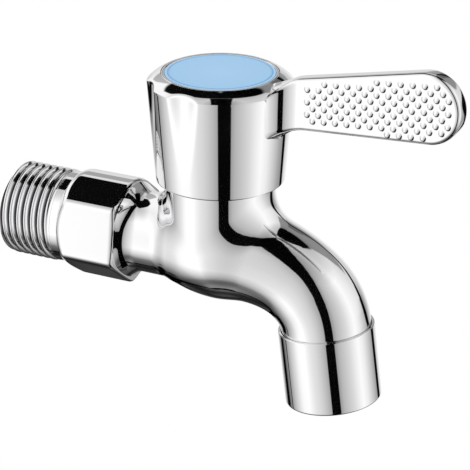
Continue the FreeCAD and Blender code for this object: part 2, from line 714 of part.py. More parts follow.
def lever_side():
    """The lever seen from the side: two straight edges that run as tangents into a round tip."""
    reach, height, radius = size("lever_tip_reach"), size("lever_tip_height"), size("lever_tip_radius")
    body = doc.addObject("PartDesign::Body", "lever_side")
    sketch = body.newObject("Sketcher::SketchObject", "lever_outline")
    plane = next(f for f in body.Origin.OriginFeatures if f.Role == "XZ_Plane")
    sketch.AttachmentSupport = [(plane, "")]
    sketch.MapMode = "FlatFace"
    top_angle, low_angle = (math.radians(angle) for angle in TIP_GUESS)
    places = [("lever_inner_reach", "lever_foot_bottom"), ("lever_foot_reach", "lever_foot_bottom"),
              ("lever_throat_reach", "lever_throat_height"), ("lever_root_reach", "lever_root_top"),
              ("lever_foot_reach", "lever_foot_top"), ("lever_inner_reach", "lever_foot_top - lever_inner_drop")]
    inner_low, foot_low, throat, root, foot_top, inner_top = (
        Vector(size(across), size(up), 0) for across, up in places)
    centre = Vector(reach, height, 0)
    top_tip = centre + Vector(math.cos(top_angle), math.sin(top_angle), 0) * radius
    low_tip = centre + Vector(math.cos(low_angle), math.sin(low_angle), 0) * radius
    run = (low_tip - throat).normalize()
    down = Vector(run.y, -run.x, 0)
    drop = foot_low - throat
    hollow_radius = drop.dot(drop) / (2 * drop.dot(down))
    hollow = throat + down * hollow_radius
    throat_angle, foot_angle = (math.atan2(p.y - hollow.y, p.x - hollow.x) for p in (throat, foot_low))
    for start, end in ((inner_low, foot_low), (throat, low_tip), (top_tip, root), (root, foot_top),
                       (foot_top, inner_top), (inner_top, inner_low)):
        sketch.addGeometry(Part.LineSegment(start, end))
    lower, upper = 1, 2
    upright = Vector(0, 0, 1)
    curve, tip = (sketch.addGeometry(Part.ArcOfCircle(Part.Circle(middle, upright, around), first, last))
                  for middle, around, first, last in ((hollow, hollow_radius, throat_angle, foot_angle),
                                                      (centre, radius, low_angle, top_angle)))
    sketch.addConstraint(Sketcher.Constraint("Coincident", 0, 2, curve, 2))
    sketch.addConstraint(Sketcher.Constraint("Tangent", curve, 1, lower, 1))
    sketch.addConstraint(Sketcher.Constraint("Tangent", lower, 2, tip, 1))
    sketch.addConstraint(Sketcher.Constraint("Tangent", upper, 1, tip, 2))
    for first, second in ((2, 3), (3, 4), (4, 5), (5, 0)):
        sketch.addConstraint(Sketcher.Constraint("Coincident", first, 2, second, 1))
    held = list(zip((0, 0, lower, 3, 4, 5), (1, 2, 1, 1, 1, 1), places))
    held.append((tip, 3, ("lever_tip_reach", "lever_tip_height")))
    for geometry, position, (across, up) in held:
        for kind, text in (("DistanceX", across), ("DistanceY", up)):
            number = sketch.addConstraint(Sketcher.Constraint(kind, -1, 1, geometry, position, size(text)))
            sketch.setExpression(f"Constraints[{number}]", link(text))
    number = sketch.addConstraint(Sketcher.Constraint("Radius", tip, radius))
    sketch.setExpression(f"Constraints[{number}]", link("lever_tip_radius"))
    pad = body.newObject("PartDesign::Pad", "lever_pad")
    pad.Profile = sketch
    bind(pad, Length="2 * handle_shoulder_radius")
    pad.Midplane = True
    bind(body, x="hub_x")
    body.setExpression("Placement.Rotation.Angle", link("lever_yaw * 1 deg"))
    return body


LEVER_TALL = "lever_tip_height + lever_tip_radius - handle_bottom + 1"


def fillet_reach(radius, half, fillet):
    """How far out the centre of a fillet lies that just sinks into the hub and the blade's side."""
    return f"sqrt(({radius} - lever_sink + {fillet})^2 - ({half} - lever_sink + {fillet})^2)"


def above_flare(name, side, half):
    """The space over a flare, whose top falls away from the blade's upper edge."""
    foot = Vector(size("lever_foot_reach"), side * size(half), size("lever_foot_top"))
    root = Vector(size("lever_root_reach"), side * size(half), size("lever_root_top"))
    margin = size("handle_shoulder_radius")
    run = (root - foot).normalize() * margin
    fall = Vector(0, side, -size("lever_flare_fall")) * margin
    corners = [foot - run, root + run, root + run + fall, foot - run + fall]
    return feature(name, Part.Face(Part.makePolygon(corners + corners[:1])).extrude(Vector(0, 0, margin)))


def flare(name, side, half, fillet):
    """A block against the blade, hollowed by a round that leans out as the hub's side does."""
    low = fillet_reach("handle_bottom_radius", half, fillet)
    high = fillet_reach("handle_shoulder_radius", half, fillet)
    lean = f"atan(({high} - {low}) / (handle_shoulder - handle_bottom))"
    contact = f"handle_bottom_radius * ({half} + {fillet}) / (handle_bottom_radius + {fillet})"
    start = "lever_inner_reach - 2"
    block = primitive("Box", f"{name}_block", Length=f"{low} - ({start})", Width=contact, Height=LEVER_TALL,
                      x=start, y=f"-({contact})" if side < 0 else "0", z="handle_bottom")
    hollow = primitive("Cylinder", f"{name}_hollow", Radius=fillet, Height=LEVER_TALL,
                       x=low, y=f"{side} * ({half} - lever_sink + {fillet})", z="handle_bottom")
    for thing in (block, hollow):
        thing.setExpression("Placement.Rotation.Axis.y", "1")
        thing.setExpression("Placement.Rotation.Axis.z", "0")
        thing.setExpression("Placement.Rotation.Angle", link(lean))
    tools = joined(f"{name}_tools", hollow, above_flare(f"{name}_space", side, half))
    return boolean("Cut", name, block, tools)


def lever_plan():
    """The lever seen from above: a straight bar that flares into the hub on both sides."""
    bar = primitive("Box", "lever_bar", Length="lever_tip_reach + lever_tip_radius + 1",
                    Width="lever_front + lever_back", Height=LEVER_TALL, y="-lever_front", z="handle_bottom")
    plan = joined("lever_plan", bar, flare("front_flare", -1, "lever_front", "lever_front_fillet"),
                  flare("back_flare", 1, "lever_back", "lever_back_fillet"))
    bind(plan, x="hub_x")
    plan.setExpression("Placement.Rotation.Angle", link("lever_yaw * 1 deg"))
    return plan


def flutes():
    """Upright round cutters that scallop the hub's side away from the lever."""
    tools = []
    for number in range(int(size("flute_count"))):
        turn = f"lever_yaw - flute_first - {number} * flute_step"
        reach = "flute_reach + flute_radius"
        tools.append(primitive("Cylinder", f"flute{number}", Radius="flute_radius", Height="handle_top",
                               x=f"hub_x + ({reach}) * cos(({turn}) * 1 deg)",
                               y=f"({reach}) * sin(({turn}) * 1 deg)", z="handle_bottom - 1"))
    return tools


def make_handle():
    hub = handle_hub()
    blade = boolean("Common", "lever_blade", lever_side(), lever_plan())
    scalloped = boolean("Cut", "scalloped_hub", hub, joined("flute_tools", *flutes()))
    blank = joined("handle_blank", scalloped, blade)
    skirt = primitive("Cylinder", "skirt_space", Radius="skirt_bore", Height="web_bottom - handle_bottom + 1",
                      x="hub_x", z="handle_bottom - 1")
    socket = primitive("Cylinder", "socket_boss", Radius="socket_radius", Height="web_bottom - socket_bottom",
                       x="hub_x", z="socket_bottom")
    space = boolean("Cut", "skirt_hollow", skirt, socket)
    web_top = "web_bottom + web_thickness"
    recess = primitive("Cylinder", "screw_recess", Radius="plug_skirt_radius + press_gap",
                       Height=f"handle_top - {web_top}", x="hub_x", z=web_top)
    seat = primitive("Cylinder", "plug_recess", Radius="plug_radius + press_gap",
                     Height="handle_top - plug_seat + 6", x="hub_x", z="plug_seat")
    screw_hole = primitive("Cylinder", "screw_hole", Radius="screw_radius + 0.2", Height="web_thickness + 1",
                           x="hub_x", z="web_bottom")
    fit = size("running_fit")
    teeth = spline("socket_teeth", size("spindle_radius") + fit, size("spindle_radius - spline_depth") + fit,
                   size("socket_bottom") - 1, size("spindle_top") + 0.2)
    tools = joined("handle_tools", space, recess, seat, screw_hole, teeth)
    keep("lever_handle", boolean("Cut", "lever_handle", blank, tools))


def make_screw():
    web_top = "web_bottom + web_thickness"
    keep("screw_washer", ring("screw_washer", "screw_radius + 0.25", "screw_washer_radius",
                              "screw_washer_height", web_top))
    head_base = f"{web_top} + screw_washer_height"
    grip = f"({head_base} - spindle_top + screw_length - 1.0)"
    shank = turned("screw_turned", [
        ("0", "0"), ("screw_radius - 0.4 - press_gap", "0"), ("screw_radius - press_gap", "0.4"),
        ("screw_radius - press_gap", grip), ("screw_head_radius", grip),
        ("screw_head_radius", f"{grip} + screw_head_height - 0.8"),
        ("screw_head_radius - 1.2", f"{grip} + screw_head_height"), ("0", f"{grip} + screw_head_height")],
        f"{head_base} - {grip}")
    slots = []
    for number, (length, width) in enumerate((("4", "0.9"), ("0.9", "4"))):
        slots.append(block(f"screw_slot{number}", length, width, "1.3",
                           f"{head_base} + screw_head_height - 1.3"))
    keep("handle_screw", boolean("Cut", "handle_screw", shank, joined("screw_slots", *slots)))


def make_plug():
    inner = "plug_skirt_radius - 0.8"
    keep("index_plug", turned("index_plug", [
        ("0", "plug_skirt_length"), (inner, "plug_skirt_length"), (inner, "0"), ("plug_skirt_radius", "0"),
        ("plug_skirt_radius", "plug_skirt_length"), ("plug_radius", "plug_skirt_length"),
        ("plug_radius", "handle_top - plug_seat + plug_skirt_length - 0.1"),
        ("plug_radius - 0.1", "handle_top - plug_seat + plug_skirt_length"),
        ("disc_plate_radius + press_gap", "handle_top - plug_seat + plug_skirt_length"),
        ("disc_plate_radius + press_gap", "plug_skirt_length + plug_plate"),
        ("0", "plug_skirt_length + plug_plate")], "plug_seat - plug_skirt_length"))
    keep("index_disc", turned("index_disc", [
        ("0", "0"), ("disc_plate_radius", "0"), ("disc_plate_radius", "disc_plate - 0.1"),
        ("disc_plate_radius - 0.1", "disc_plate"), ("0", "disc_plate")], "plug_seat + plug_plate"))


def write_parts():
    """Check every object and write each sub-part to a STEP file of its name."""
    doc.recompute()
    for thing in doc.Objects:
        if "Invalid" in thing.State or "Error" in thing.State:
            raise RuntimeError(f"{thing.Label} failed: {thing.State}")
    os.makedirs("parts", exist_ok=True)
    for label, thing in nodes.items():
        shape = thing.Shape
        if shape.isNull() or not shape.isValid():
            raise RuntimeError(f"{label} has no valid shape")
        shape.exportStep(f"parts/{label}.step")
        print(label, "solids", len(shape.Solids), "volume", round(shape.Volume, 1))


make_tap_body()
make_outlet()
make_seal()
make_discs()
make_bonnet()
make_spindle()
make_handle()
make_screw()
make_plug()
write_parts()
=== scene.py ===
"""Looks of a chrome bib tap with a quarter-turn lever. Shapes are drawn in millimetres and scaled last."""
import math

import bmesh
import bpy
import numpy as np
from mathutils import Matrix, Vector


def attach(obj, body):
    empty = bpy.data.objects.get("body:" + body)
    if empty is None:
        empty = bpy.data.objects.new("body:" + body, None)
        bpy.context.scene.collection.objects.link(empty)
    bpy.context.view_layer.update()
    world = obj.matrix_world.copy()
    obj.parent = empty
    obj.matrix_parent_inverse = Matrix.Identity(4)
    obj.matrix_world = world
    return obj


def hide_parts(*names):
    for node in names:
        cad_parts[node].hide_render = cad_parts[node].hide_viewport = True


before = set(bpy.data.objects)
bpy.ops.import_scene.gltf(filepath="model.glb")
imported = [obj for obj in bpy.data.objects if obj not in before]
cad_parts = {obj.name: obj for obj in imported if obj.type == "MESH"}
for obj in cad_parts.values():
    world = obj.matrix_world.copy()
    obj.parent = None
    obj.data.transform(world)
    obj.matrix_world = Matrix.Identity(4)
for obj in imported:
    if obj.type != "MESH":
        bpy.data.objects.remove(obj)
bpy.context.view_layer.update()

MM = 0.001
# Points closer than this, in mm, are one
WELD = 0.0004
ON_PLANE = 0.0001
HUB_X = 50.5

# Inlet thread and shank
THREAD_RADIUS = 10.4775
THREAD_PITCH = 1.814
THREAD_DEPTH = 1.162
THREAD_LENGTH = 13.0
THREAD_STEPS = 96
RUN_OUT_START = 1.4
RUN_OUT_LENGTH = 1.2
LEAD_IN_RADIUS = 10.08
INLET_BORE = 7.2
INLET_BORE_LENGTH = 29.0
FEED_BORE = 4.5

# Spanner boss
COLLAR_RADIUS = 10.2
COLLAR_EASE = 0.15
BOSS_START = 15.2
BOSS_END = 29.6
BOSS_FLATS = 22.2
BOSS_ROLL = 8.5
BOSS_TOP_FLAT = 11.3
BOSS_BARREL = 12.9
BOSS_SLOPE = 2.2
BOSS_FACE_RADIUS = 10.8
BOSS_CONE = math.radians(50)
BOSS_FILLET = 5.15
BOSS_END_EASE = 0.9
BOSS_END_DROP = 0.3
BOSS_SOFTNESS = 1.1

# Cast body
WAIST_RADIUS = 8.95
# Ends that the next piece hides close at this radius
HIDDEN_RADIUS = WAIST_RADIUS - 1
BELLY_X = 52.0
NECK_RADIUS = 11.9
NECK_TOP = 19.0
NECK_BLEND = 7.0
BODY_VOXEL = 0.45

# Outlet
OUTLET = Vector((75.93, 0.0, -13.5))
OUTLET_TILT = math.radians(7.28)
OUTLET_AXIS = Vector((math.sin(OUTLET_TILT), 0.0, -math.cos(OUTLET_TILT)))
SPOUT_INSERT = 9.5
SLEEVE_RADIUS = 10.45
SLEEVE_LENGTH = 16.75
SLEEVE_BORE = 9.85
SLEEVE_CAVITY = 9.0
SLEEVE_MOUTH = 8.75
SLEEVE_LIP = 8.5
AERATOR_SEAT = SPOUT_INSERT + 1.5
AERATOR_FLANGE_RADIUS = 9.7
AERATOR_FLANGE = 1.2
AERATOR_RADIUS = 8.9
AERATOR_BORE = 7.9
AERATOR_MOUTH = 7.3
AERATOR_LEDGE = 4.4
AERATOR_LENGTH = 5.0

# Handle
HANDLE_BOTTOM = 16.08
HANDLE_BOTTOM_RADIUS = 13.82
SHOULDER = 37.9
SHOULDER_RADIUS = 15.5
HANDLE_TOP = 39.85
RIM_RADIUS = 12.53
CHAMFER_BULGE = 0.17
CHAMFER_FACING = (0.55, 0.84)
SKIRT_BORE = 12.45
SOCKET_BORE = 3.75
SOCKET_RADIUS = 6.5
SOCKET_BOTTOM = 28.2
SOCKET_TOP = 33.2
SCREW_HOLE = 2.2
PLUG_RECESS = 10.45
WEB_BOTTOM = 32.5
WEB_TOP = 35.0
FLUTE_RADIUS = 9.0
FLUTE_REACH = 14.6
FLUTE_FIRST = -87.0
FLUTE_STEP = -45.0
FLUTES = 5
FLUTE_SOFTNESS = 0.6

# Lever
LEVER_YAW = math.radians(-7.0)
LEVER_FRONT = 1.2
LEVER_BACK = 2.6
LEVER_EDGE = 0.95
LEVER_MIDDLE_HEIGHT = 36.0
TIP = Vector((49.45, 41.6))
TIP_RADIUS = 7.4
TIP_TOP_ANGLE = math.radians(103.1)
TIP_LOW_ANGLE = math.radians(-84.2)
ROOT = Vector((19.2, 42.15))
THROAT = Vector((21.4, 31.3))
FOOT_LOW = Vector((14.0, 26.7))
FOOT_TOP = Vector((14.0, 40.1))
INNER_TOP = Vector((12.7, 39.4))
INNER_LOW = Vector((12.7, 26.7))
FRONT_FILLET = 6.0
BACK_FILLET = 5.0
LEVER_CUTS = (*np.arange(12.8, 16.0, 0.1), *np.arange(16.0, 21.0, 0.25))
FLARE_FALL = 0.5
FLARE_RISE = 0.55

# Grip studs on the lever's faces
STUD_PITCH = 2.71
STUD_ROW = 2.70
STUD_TILT = math.radians(6.7)
STUD_START = Vector((22.13, 40.5))
STUD_FIRST_REACH = 20.8
STUD_RADIUS = 0.78
STUD_HEIGHT = 0.34
STUD_LEAN = 0.82
STUD_BORDER = 1.3

# Index plug and disc
PLUG_RADIUS = 12.48
PLUG_SEAT = 38.5
PLUG_SKIRT_BORE = 9.6
PLUG_SKIRT_RADIUS = 10.4
PLUG_SKIRT_DEPTH = 2.9
PLUG_RIM_HEIGHT = 1.38
PLUG_RIM_EASE = 0.34
DISC_SHOWN = 11.75
DISC_SEAT = 39.28
DISC_HEIGHT = 0.58

# Camera
CAMERA_AZIMUTH = math.radians(26.66)
CAMERA_ELEVATION = math.radians(23.39)
CAMERA_ROLL = math.radians(0.06)
CAMERA_PLACE = Vector((0.23187, -0.35428, 0.17471))
CAMERA_LENS = 153.19


def linear(colour):
    """A colour written as sRGB hex, as linear red, green, blue and alpha."""
    channels = [int(colour[i:i + 2], 16) / 255 for i in (1, 3, 5)]
    return [c / 12.92 if c <= 0.04045 else ((c + 0.055) / 1.055) ** 2.4 for c in channels] + [1.0]


def node(tree, kind, inputs=None, **settings):
    """Add a node with its settings; an input is a value, or the socket that it is linked to."""
    made = tree.nodes.new(kind)
    for name, setting in settings.items():
        setattr(made, name, setting)
    for socket, value in (inputs or {}).items():
        if isinstance(value, bpy.types.NodeSocket):
            tree.links.new(value, made.inputs[socket])
        else:
            made.inputs[socket].default_value = value
    return made


def graded(tree, value, stops):
    """A colour that follows (place, colour) stops of a value, from the first stop to the last."""
    first, last = stops[0][0], stops[-1][0]
    share = node(tree, "ShaderNodeMapRange", {"Value": value, "From Min": first, "From Max": last}).outputs[0]
    made = node(tree, "ShaderNodeValToRGB", {0: share})
    while len(made.color_ramp.elements) < len(stops):
        made.color_ramp.elements.new(0.5)
    for element, (place, colour) in zip(made.color_ramp.elements, stops):
        element.position = (place - first) / (last - first)
        element.color = colour
    return made.outputs[0]


# Finishes

def finish(name, colour, metallic=0.0, roughness=(0.3, 0.4), patch=6.0, grain=0.0, grain_size=0.3,
           colour_shift=None, **sockets):
    """A surface with worked-in variation: patches of roughness and a fine relief, both sized in mm."""
    made = bpy.data.materials.new(name)
    made.use_nodes = True
    tree = made.node_tree
    shader = tree.nodes["Principled BSDF"]
    place = node(tree, "ShaderNodeTexCoord").outputs["Object"]
    cloud = node(tree, "ShaderNodeTexNoise", {"Vector": place, "Scale": 1 / (patch * MM), "Detail": 3.0})
    spread = node(tree, "ShaderNodeMapRange", {"Value": cloud.outputs[0], "From Min": 0.3, "From Max": 0.7,
                                               "To Min": roughness[0], "To Max": roughness[1]})
    tree.links.new(spread.outputs[0], shader.inputs["Roughness"])
    if colour_shift:
        tint = node(tree, "ShaderNodeMix", {0: cloud.outputs[0], 6: linear(colour), 7: linear(colour_shift)},
                    data_type="RGBA")
        tree.links.new(tint.outputs[2], shader.inputs["Base Color"])
    else:
        shader.inputs["Base Color"].default_value = linear(colour)
    if grain:
        relief = node(tree, "ShaderNodeTexNoise",
                      {"Vector": place, "Scale": 1 / (grain_size * MM), "Detail": 2.0})
        bump = node(tree, "ShaderNodeBump", {"Strength": 0.5, "Distance": grain * MM,
                                             "Height": relief.outputs[0]})
        tree.links.new(bump.outputs[0], shader.inputs["Normal"])
    shader.inputs["Metallic"].default_value = metallic
    for socket, value in sockets.items():
        shader.inputs[socket.replace("_", " ")].default_value = value
    return made


def banded(surface, along, centre, stops):
    """Colour a surface by its distance, in mm, from an axis through a centre; stops are (mm, colour)."""
    tree = surface.node_tree
    shader = tree.nodes["Principled BSDF"]
    place = node(tree, "ShaderNodeTexCoord").outputs["Object"]
    away = node(tree, "ShaderNodeVectorMath", {0: place, 1: Vector(centre) * MM},
                operation="SUBTRACT").outputs[0]
    flat = node(tree, "ShaderNodeVectorMath", {0: away, 1: along}, operation="MULTIPLY").outputs[0]
    reach = node(tree, "ShaderNodeVectorMath", {0: flat}, operation="LENGTH").outputs["Value"]
    shown = graded(tree, reach, [(distance * MM, linear(colour)) for distance, colour in stops])
    tree.links.new(shown, shader.inputs["Base Color"])
    return surface


# Bright chrome on polished brass: a cold mirror, with the faintest waviness from buffing
CHROME_BRASS = finish("bright_chrome_on_brass", "#F3F3F4", 1.0, (0.02, 0.045), 9.0, 0.0006, 2.5)
# Bright chrome on a zinc casting: as bright, a touch softer in the hollows
CHROME_ZINC = finish("bright_chrome_on_zinc", "#F3F3F4", 1.0, (0.02, 0.05), 7.0, 0.0006, 2.5)
# Chrome over moulded plastic: a thin bright rim
CHROME_PLASTIC = finish("bright_chrome_on_plastic", "#F4F4F5", 1.0, (0.03, 0.06), 4.0, 0.0004, 1.5)
# Moulded blue plastic: a satin face, with painted shade in the groove of its moulded ring and a painted
# highlight just outside it
BLUE_PLASTIC_PAINTED_GROOVE_SHADING = finish("moulded_blue_plastic_painted_groove_shading", "#A3CFF3", 0.0, (0.34, 0.44), 5.0, 0.002, 0.25,
                      "#9DCBF1")
# Painted shade darkens the band round the ring's groove at 11.05 mm, and a painted highlight lightens its
# outer side
banded(BLUE_PLASTIC_PAINTED_GROOVE_SHADING, (1, 1, 0), (HUB_X, 0, 0), ((0, "#A6D1F4"), (10.4, "#9FCDF3"), (10.85, "#8FC0E9"),
                                                 (11.05, "#6FA3CF"), (11.25, "#A9D3F4"), (11.8, "#9CCBF1")))
# Bright chrome on a cut thread, a touch rougher; painted shade darkens its colour down towards the roots
CHROME_THREAD_PAINTED_ROOT_SHADE = banded(finish("bright_chrome_on_thread_painted_root_shade", "#F3F3F4", 1.0, (0.05, 0.12), 3.0, 0.0006, 1.0),
                       (0, 1, 1), (0, 0, 0), ((9.2, "#39393B"), (9.5, "#707073"), (9.8, "#C4C4C6"),
                                              (9.95, "#F5F5F6"), (10.6, "#F8F8F9")))
# Turned brass: warm, with tool marks
MACHINED_BRASS = finish("turned_brass", "#D6B36A", 1.0, (0.22, 0.34), 2.0, 0.004, 0.2, "#C9A255")
# Stainless steel, as rolled and stamped
STAINLESS = finish("stamped_stainless_steel", "#C9CBCD", 1.0, (0.2, 0.32), 1.5, 0.003, 0.15)
# Nitrile rubber, moulded: matt black
RUBBER = finish("nitrile_rubber", "#1B1B1D", 0.0, (0.55, 0.7), 1.0, 0.006, 0.2)
# Red vulcanised fibre, punched from sheet
RED_FIBRE = finish("red_vulcanised_fibre", "#9A3B2E", 0.0, (0.6, 0.75), 0.8, 0.008, 0.2, "#8C3226")
# White acetal, injection moulded
WHITE_ACETAL = finish("white_acetal", "#ECECE8", 0.0, (0.35, 0.45), 2.0, 0.003, 0.3)
# Grey acetal, injection moulded
GREY_ACETAL = finish("grey_acetal", "#9EA2A5", 0.0, (0.4, 0.5), 2.0, 0.003, 0.3)
# Sintered alumina discs, lapped: white and dense
CERAMIC = finish("lapped_alumina", "#F2F0EA", 0.0, (0.12, 0.2), 1.5, 0.001, 0.2)

NODE_FINISHES = {
    "outlet_washer": RUBBER, "aerator_housing": WHITE_ACETAL, "aerator_screen": STAINLESS,
    "aerator_insert": GREY_ACETAL, "seat_seal": RUBBER, "seal_retainer": WHITE_ACETAL,
    "fixed_disc": CERAMIC, "turning_disc": CERAMIC, "bonnet": MACHINED_BRASS, "bonnet_washer": RED_FIBRE,
    "thrust_washer": WHITE_ACETAL, "spindle": MACHINED_BRASS, "spindle_o_rings": RUBBER,
    "circlip": STAINLESS, "screw_washer": STAINLESS, "handle_screw": STAINLESS,
    "tap_body": CHROME_BRASS, "outlet_sleeve": CHROME_BRASS, "lever_handle": CHROME_ZINC,
    "index_plug": CHROME_PLASTIC, "index_disc": BLUE_PLASTIC_PAINTED_GROOVE_SHADING,
}
for label, surface in NODE_FINISHES.items():
    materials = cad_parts[label].data.materials
    materials.clear()
    materials.append(surface)


# Mesh helpers

def piece(name, shape, surface, body, slot, *nodes, sharp=32.0):
    """Turn a millimetre bmesh into a smooth-shaded object that rides on a body."""
    bmesh.ops.remove_doubles(shape, verts=shape.verts, dist=WELD)
    bmesh.ops.recalc_face_normals(shape, faces=shape.faces)
    shape.transform(Matrix.Scale(MM, 4))
    mesh = bpy.data.meshes.new(name)
    shape.to_mesh(mesh)
    shape.free()
    for face in mesh.polygons:
        face.use_smooth = True
    mesh.set_sharp_from_angle(angle=math.radians(sharp))
    mesh.materials.append(surface)
    thing = bpy.data.objects.new(name, mesh)
    bpy.context.scene.collection.objects.link(thing)
    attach(thing, body)
    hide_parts(*nodes)
    return thing


def reshape(shape, move):
    """Move every vertex by a function of the whole array of places."""
    places = np.array([v.co for v in shape.verts])
    for vertex, place in zip(shape.verts, move(places)):
        vertex.co = place


def eased(corners, steps=4, support=0.05):
    """Round each (across, up, radius) corner of a closed outline, with a support point on both sides."""
    points = []
    for number, (across, up, radius) in enumerate(corners):
        corner = Vector((across, up))
        if not radius:
            points.append(corner)
            continue
        back = (Vector(corners[number - 1][:2]) - corner).normalized()
        ahead = (Vector(corners[(number + 1) % len(corners)][:2]) - corner).normalized()
        reach = radius / math.tan(back.angle(ahead) / 2)
        points.append(corner + back * (reach + support))
        for step in range(steps + 1):
            share = step / steps
            points.append(corner + back * reach * (1 - share) ** 2 + ahead * reach * share ** 2)
        points.append(corner + ahead * (reach + support))
    return points


def spun(points, steps=160, closed=True):
    """Spin an outline of (radius, height) about the Z axis."""
    shape = bmesh.new()
    corners = [shape.verts.new((p[0], 0.0, p[1])) for p in points]
    for start, end in zip(corners, corners[1:] + corners[:1] if closed else corners[1:]):
        shape.edges.new((start, end))
    bmesh.ops.spin(shape, geom=shape.verts[:] + shape.edges[:], cent=(0, 0, 0), axis=(0, 0, 1),
                   dvec=(0, 0, 0), angle=math.tau, steps=steps, use_merge=True)
    bmesh.ops.remove_doubles(shape, verts=shape.verts, dist=WELD)
    return shape


def soft_least(values, softness):
    """The least of several arrays, eased into each other over a softness in mm."""
    least = values[0]
    for value in values[1:]:
        overlap = np.clip(1 - np.abs(least - value) / softness, 0, 1)
        least = np.minimum(least, value) - softness * overlap ** 2 / 4
    return least


ALONG_X = Matrix.Rotation(math.radians(90), 4, "Y")
IN_OUTLET = Matrix.Translation(OUTLET) @ Matrix.Rotation(math.pi - OUTLET_TILT, 4, "Y")
IN_HANDLE = Matrix.Translation((HUB_X, 0, 0)) @ Matrix.Rotation(LEVER_YAW, 4, "Z")


# Inlet thread

def thread_profile():
    """One pitch of a rounded thread form, as (distance, radius) from root to root."""
    root = THREAD_RADIUS - THREAD_DEPTH
    shape = ((0.0, 0.0), (0.05, 0.02), (0.1, 0.1), (0.18, 0.34), (0.26, 0.6), (0.33, 0.82), (0.39, 0.95),
             (0.46, 1.0), (0.54, 1.0), (0.61, 0.95), (0.67, 0.82), (0.74, 0.6), (0.82, 0.34), (0.9, 0.1),
             (0.95, 0.02), (1.0, 0.0))
    return [(share * THREAD_PITCH, root + rise * THREAD_DEPTH) for share, rise in shape]


def inlet_shank():
    """The threaded end with its bore: a helical skin, cut to length and closed round the bore."""
    shape = bmesh.new()
    turns = math.ceil(THREAD_LENGTH / THREAD_PITCH) + 2
    corners = [shape.verts.new((x - THREAD_PITCH, 0.0, radius)) for x, radius in thread_profile()]
    for start, end in zip(corners, corners[1:]):
        shape.edges.new((start, end))
    bmesh.ops.spin(shape, geom=shape.verts[:] + shape.edges[:], cent=(0, 0, 0), axis=(1, 0, 0),
                   dvec=(THREAD_PITCH / THREAD_STEPS, 0, 0), angle=math.tau * turns,
                   steps=THREAD_STEPS * turns)
    bmesh.ops.remove_doubles(shape, verts=shape.verts, dist=WELD)

    def run_in(places):
        radius = np.hypot(places[:, 1], places[:, 2])
        most = np.maximum(LEAD_IN_RADIUS + places[:, 0], THREAD_RADIUS - THREAD_DEPTH)
        wanted = np.minimum(radius, most)
        fade = np.clip((places[:, 0] - THREAD_LENGTH + RUN_OUT_START) / RUN_OUT_LENGTH, 0, 1)
        wanted = wanted + (COLLAR_RADIUS - wanted) * fade
        places[:, 1:] *= (wanted / radius)[:, None]
        return places
    reshape(shape, run_in)
    for x, outside in ((0.0, -1), (THREAD_LENGTH + 0.1, 1)):
        bmesh.ops.bisect_plane(shape, geom=shape.verts[:] + shape.edges[:] + shape.faces[:], dist=ON_PLANE,
                               plane_co=(x, 0, 0), plane_no=(outside, 0, 0), clear_outer=True)

    def carry(loop, steps):
        for x, radius in steps:
            grown = bmesh.ops.extrude_edge_only(shape, edges=loop)["geom"]
            for vertex in (g for g in grown if isinstance(g, bmesh.types.BMVert)):
                radial = Vector((0, vertex.co.y, vertex.co.z)).normalized() * radius
                vertex.co = Vector((x, radial.y, radial.z))
            loop = [g for g in grown if isinstance(g, bmesh.types.BMEdge) and g.is_boundary]
        bmesh.ops.edgeloop_fill(shape, edges=loop)
    rims = [e for e in shape.edges if e.is_boundary]
    mouth = [e for e in rims if (e.verts[0].co.x + e.verts[1].co.x) / 2 < 1.0]
    tail = [e for e in rims if (e.verts[0].co.x + e.verts[1].co.x) / 2 > 10.0]
    carry(mouth, ((0.0, INLET_BORE + 0.25), (0.12, INLET_BORE + 0.07), (0.3, INLET_BORE),
                  (INLET_BORE_LENGTH, INLET_BORE), (INLET_BORE_LENGTH, FEED_BORE),
                  (INLET_BORE_LENGTH + 9, FEED_BORE)))
    carry(tail, ((THREAD_LENGTH + 0.1, HIDDEN_RADIUS), (INLET_BORE_LENGTH + 10, HIDDEN_RADIUS)))
    return shape


# Spanner boss

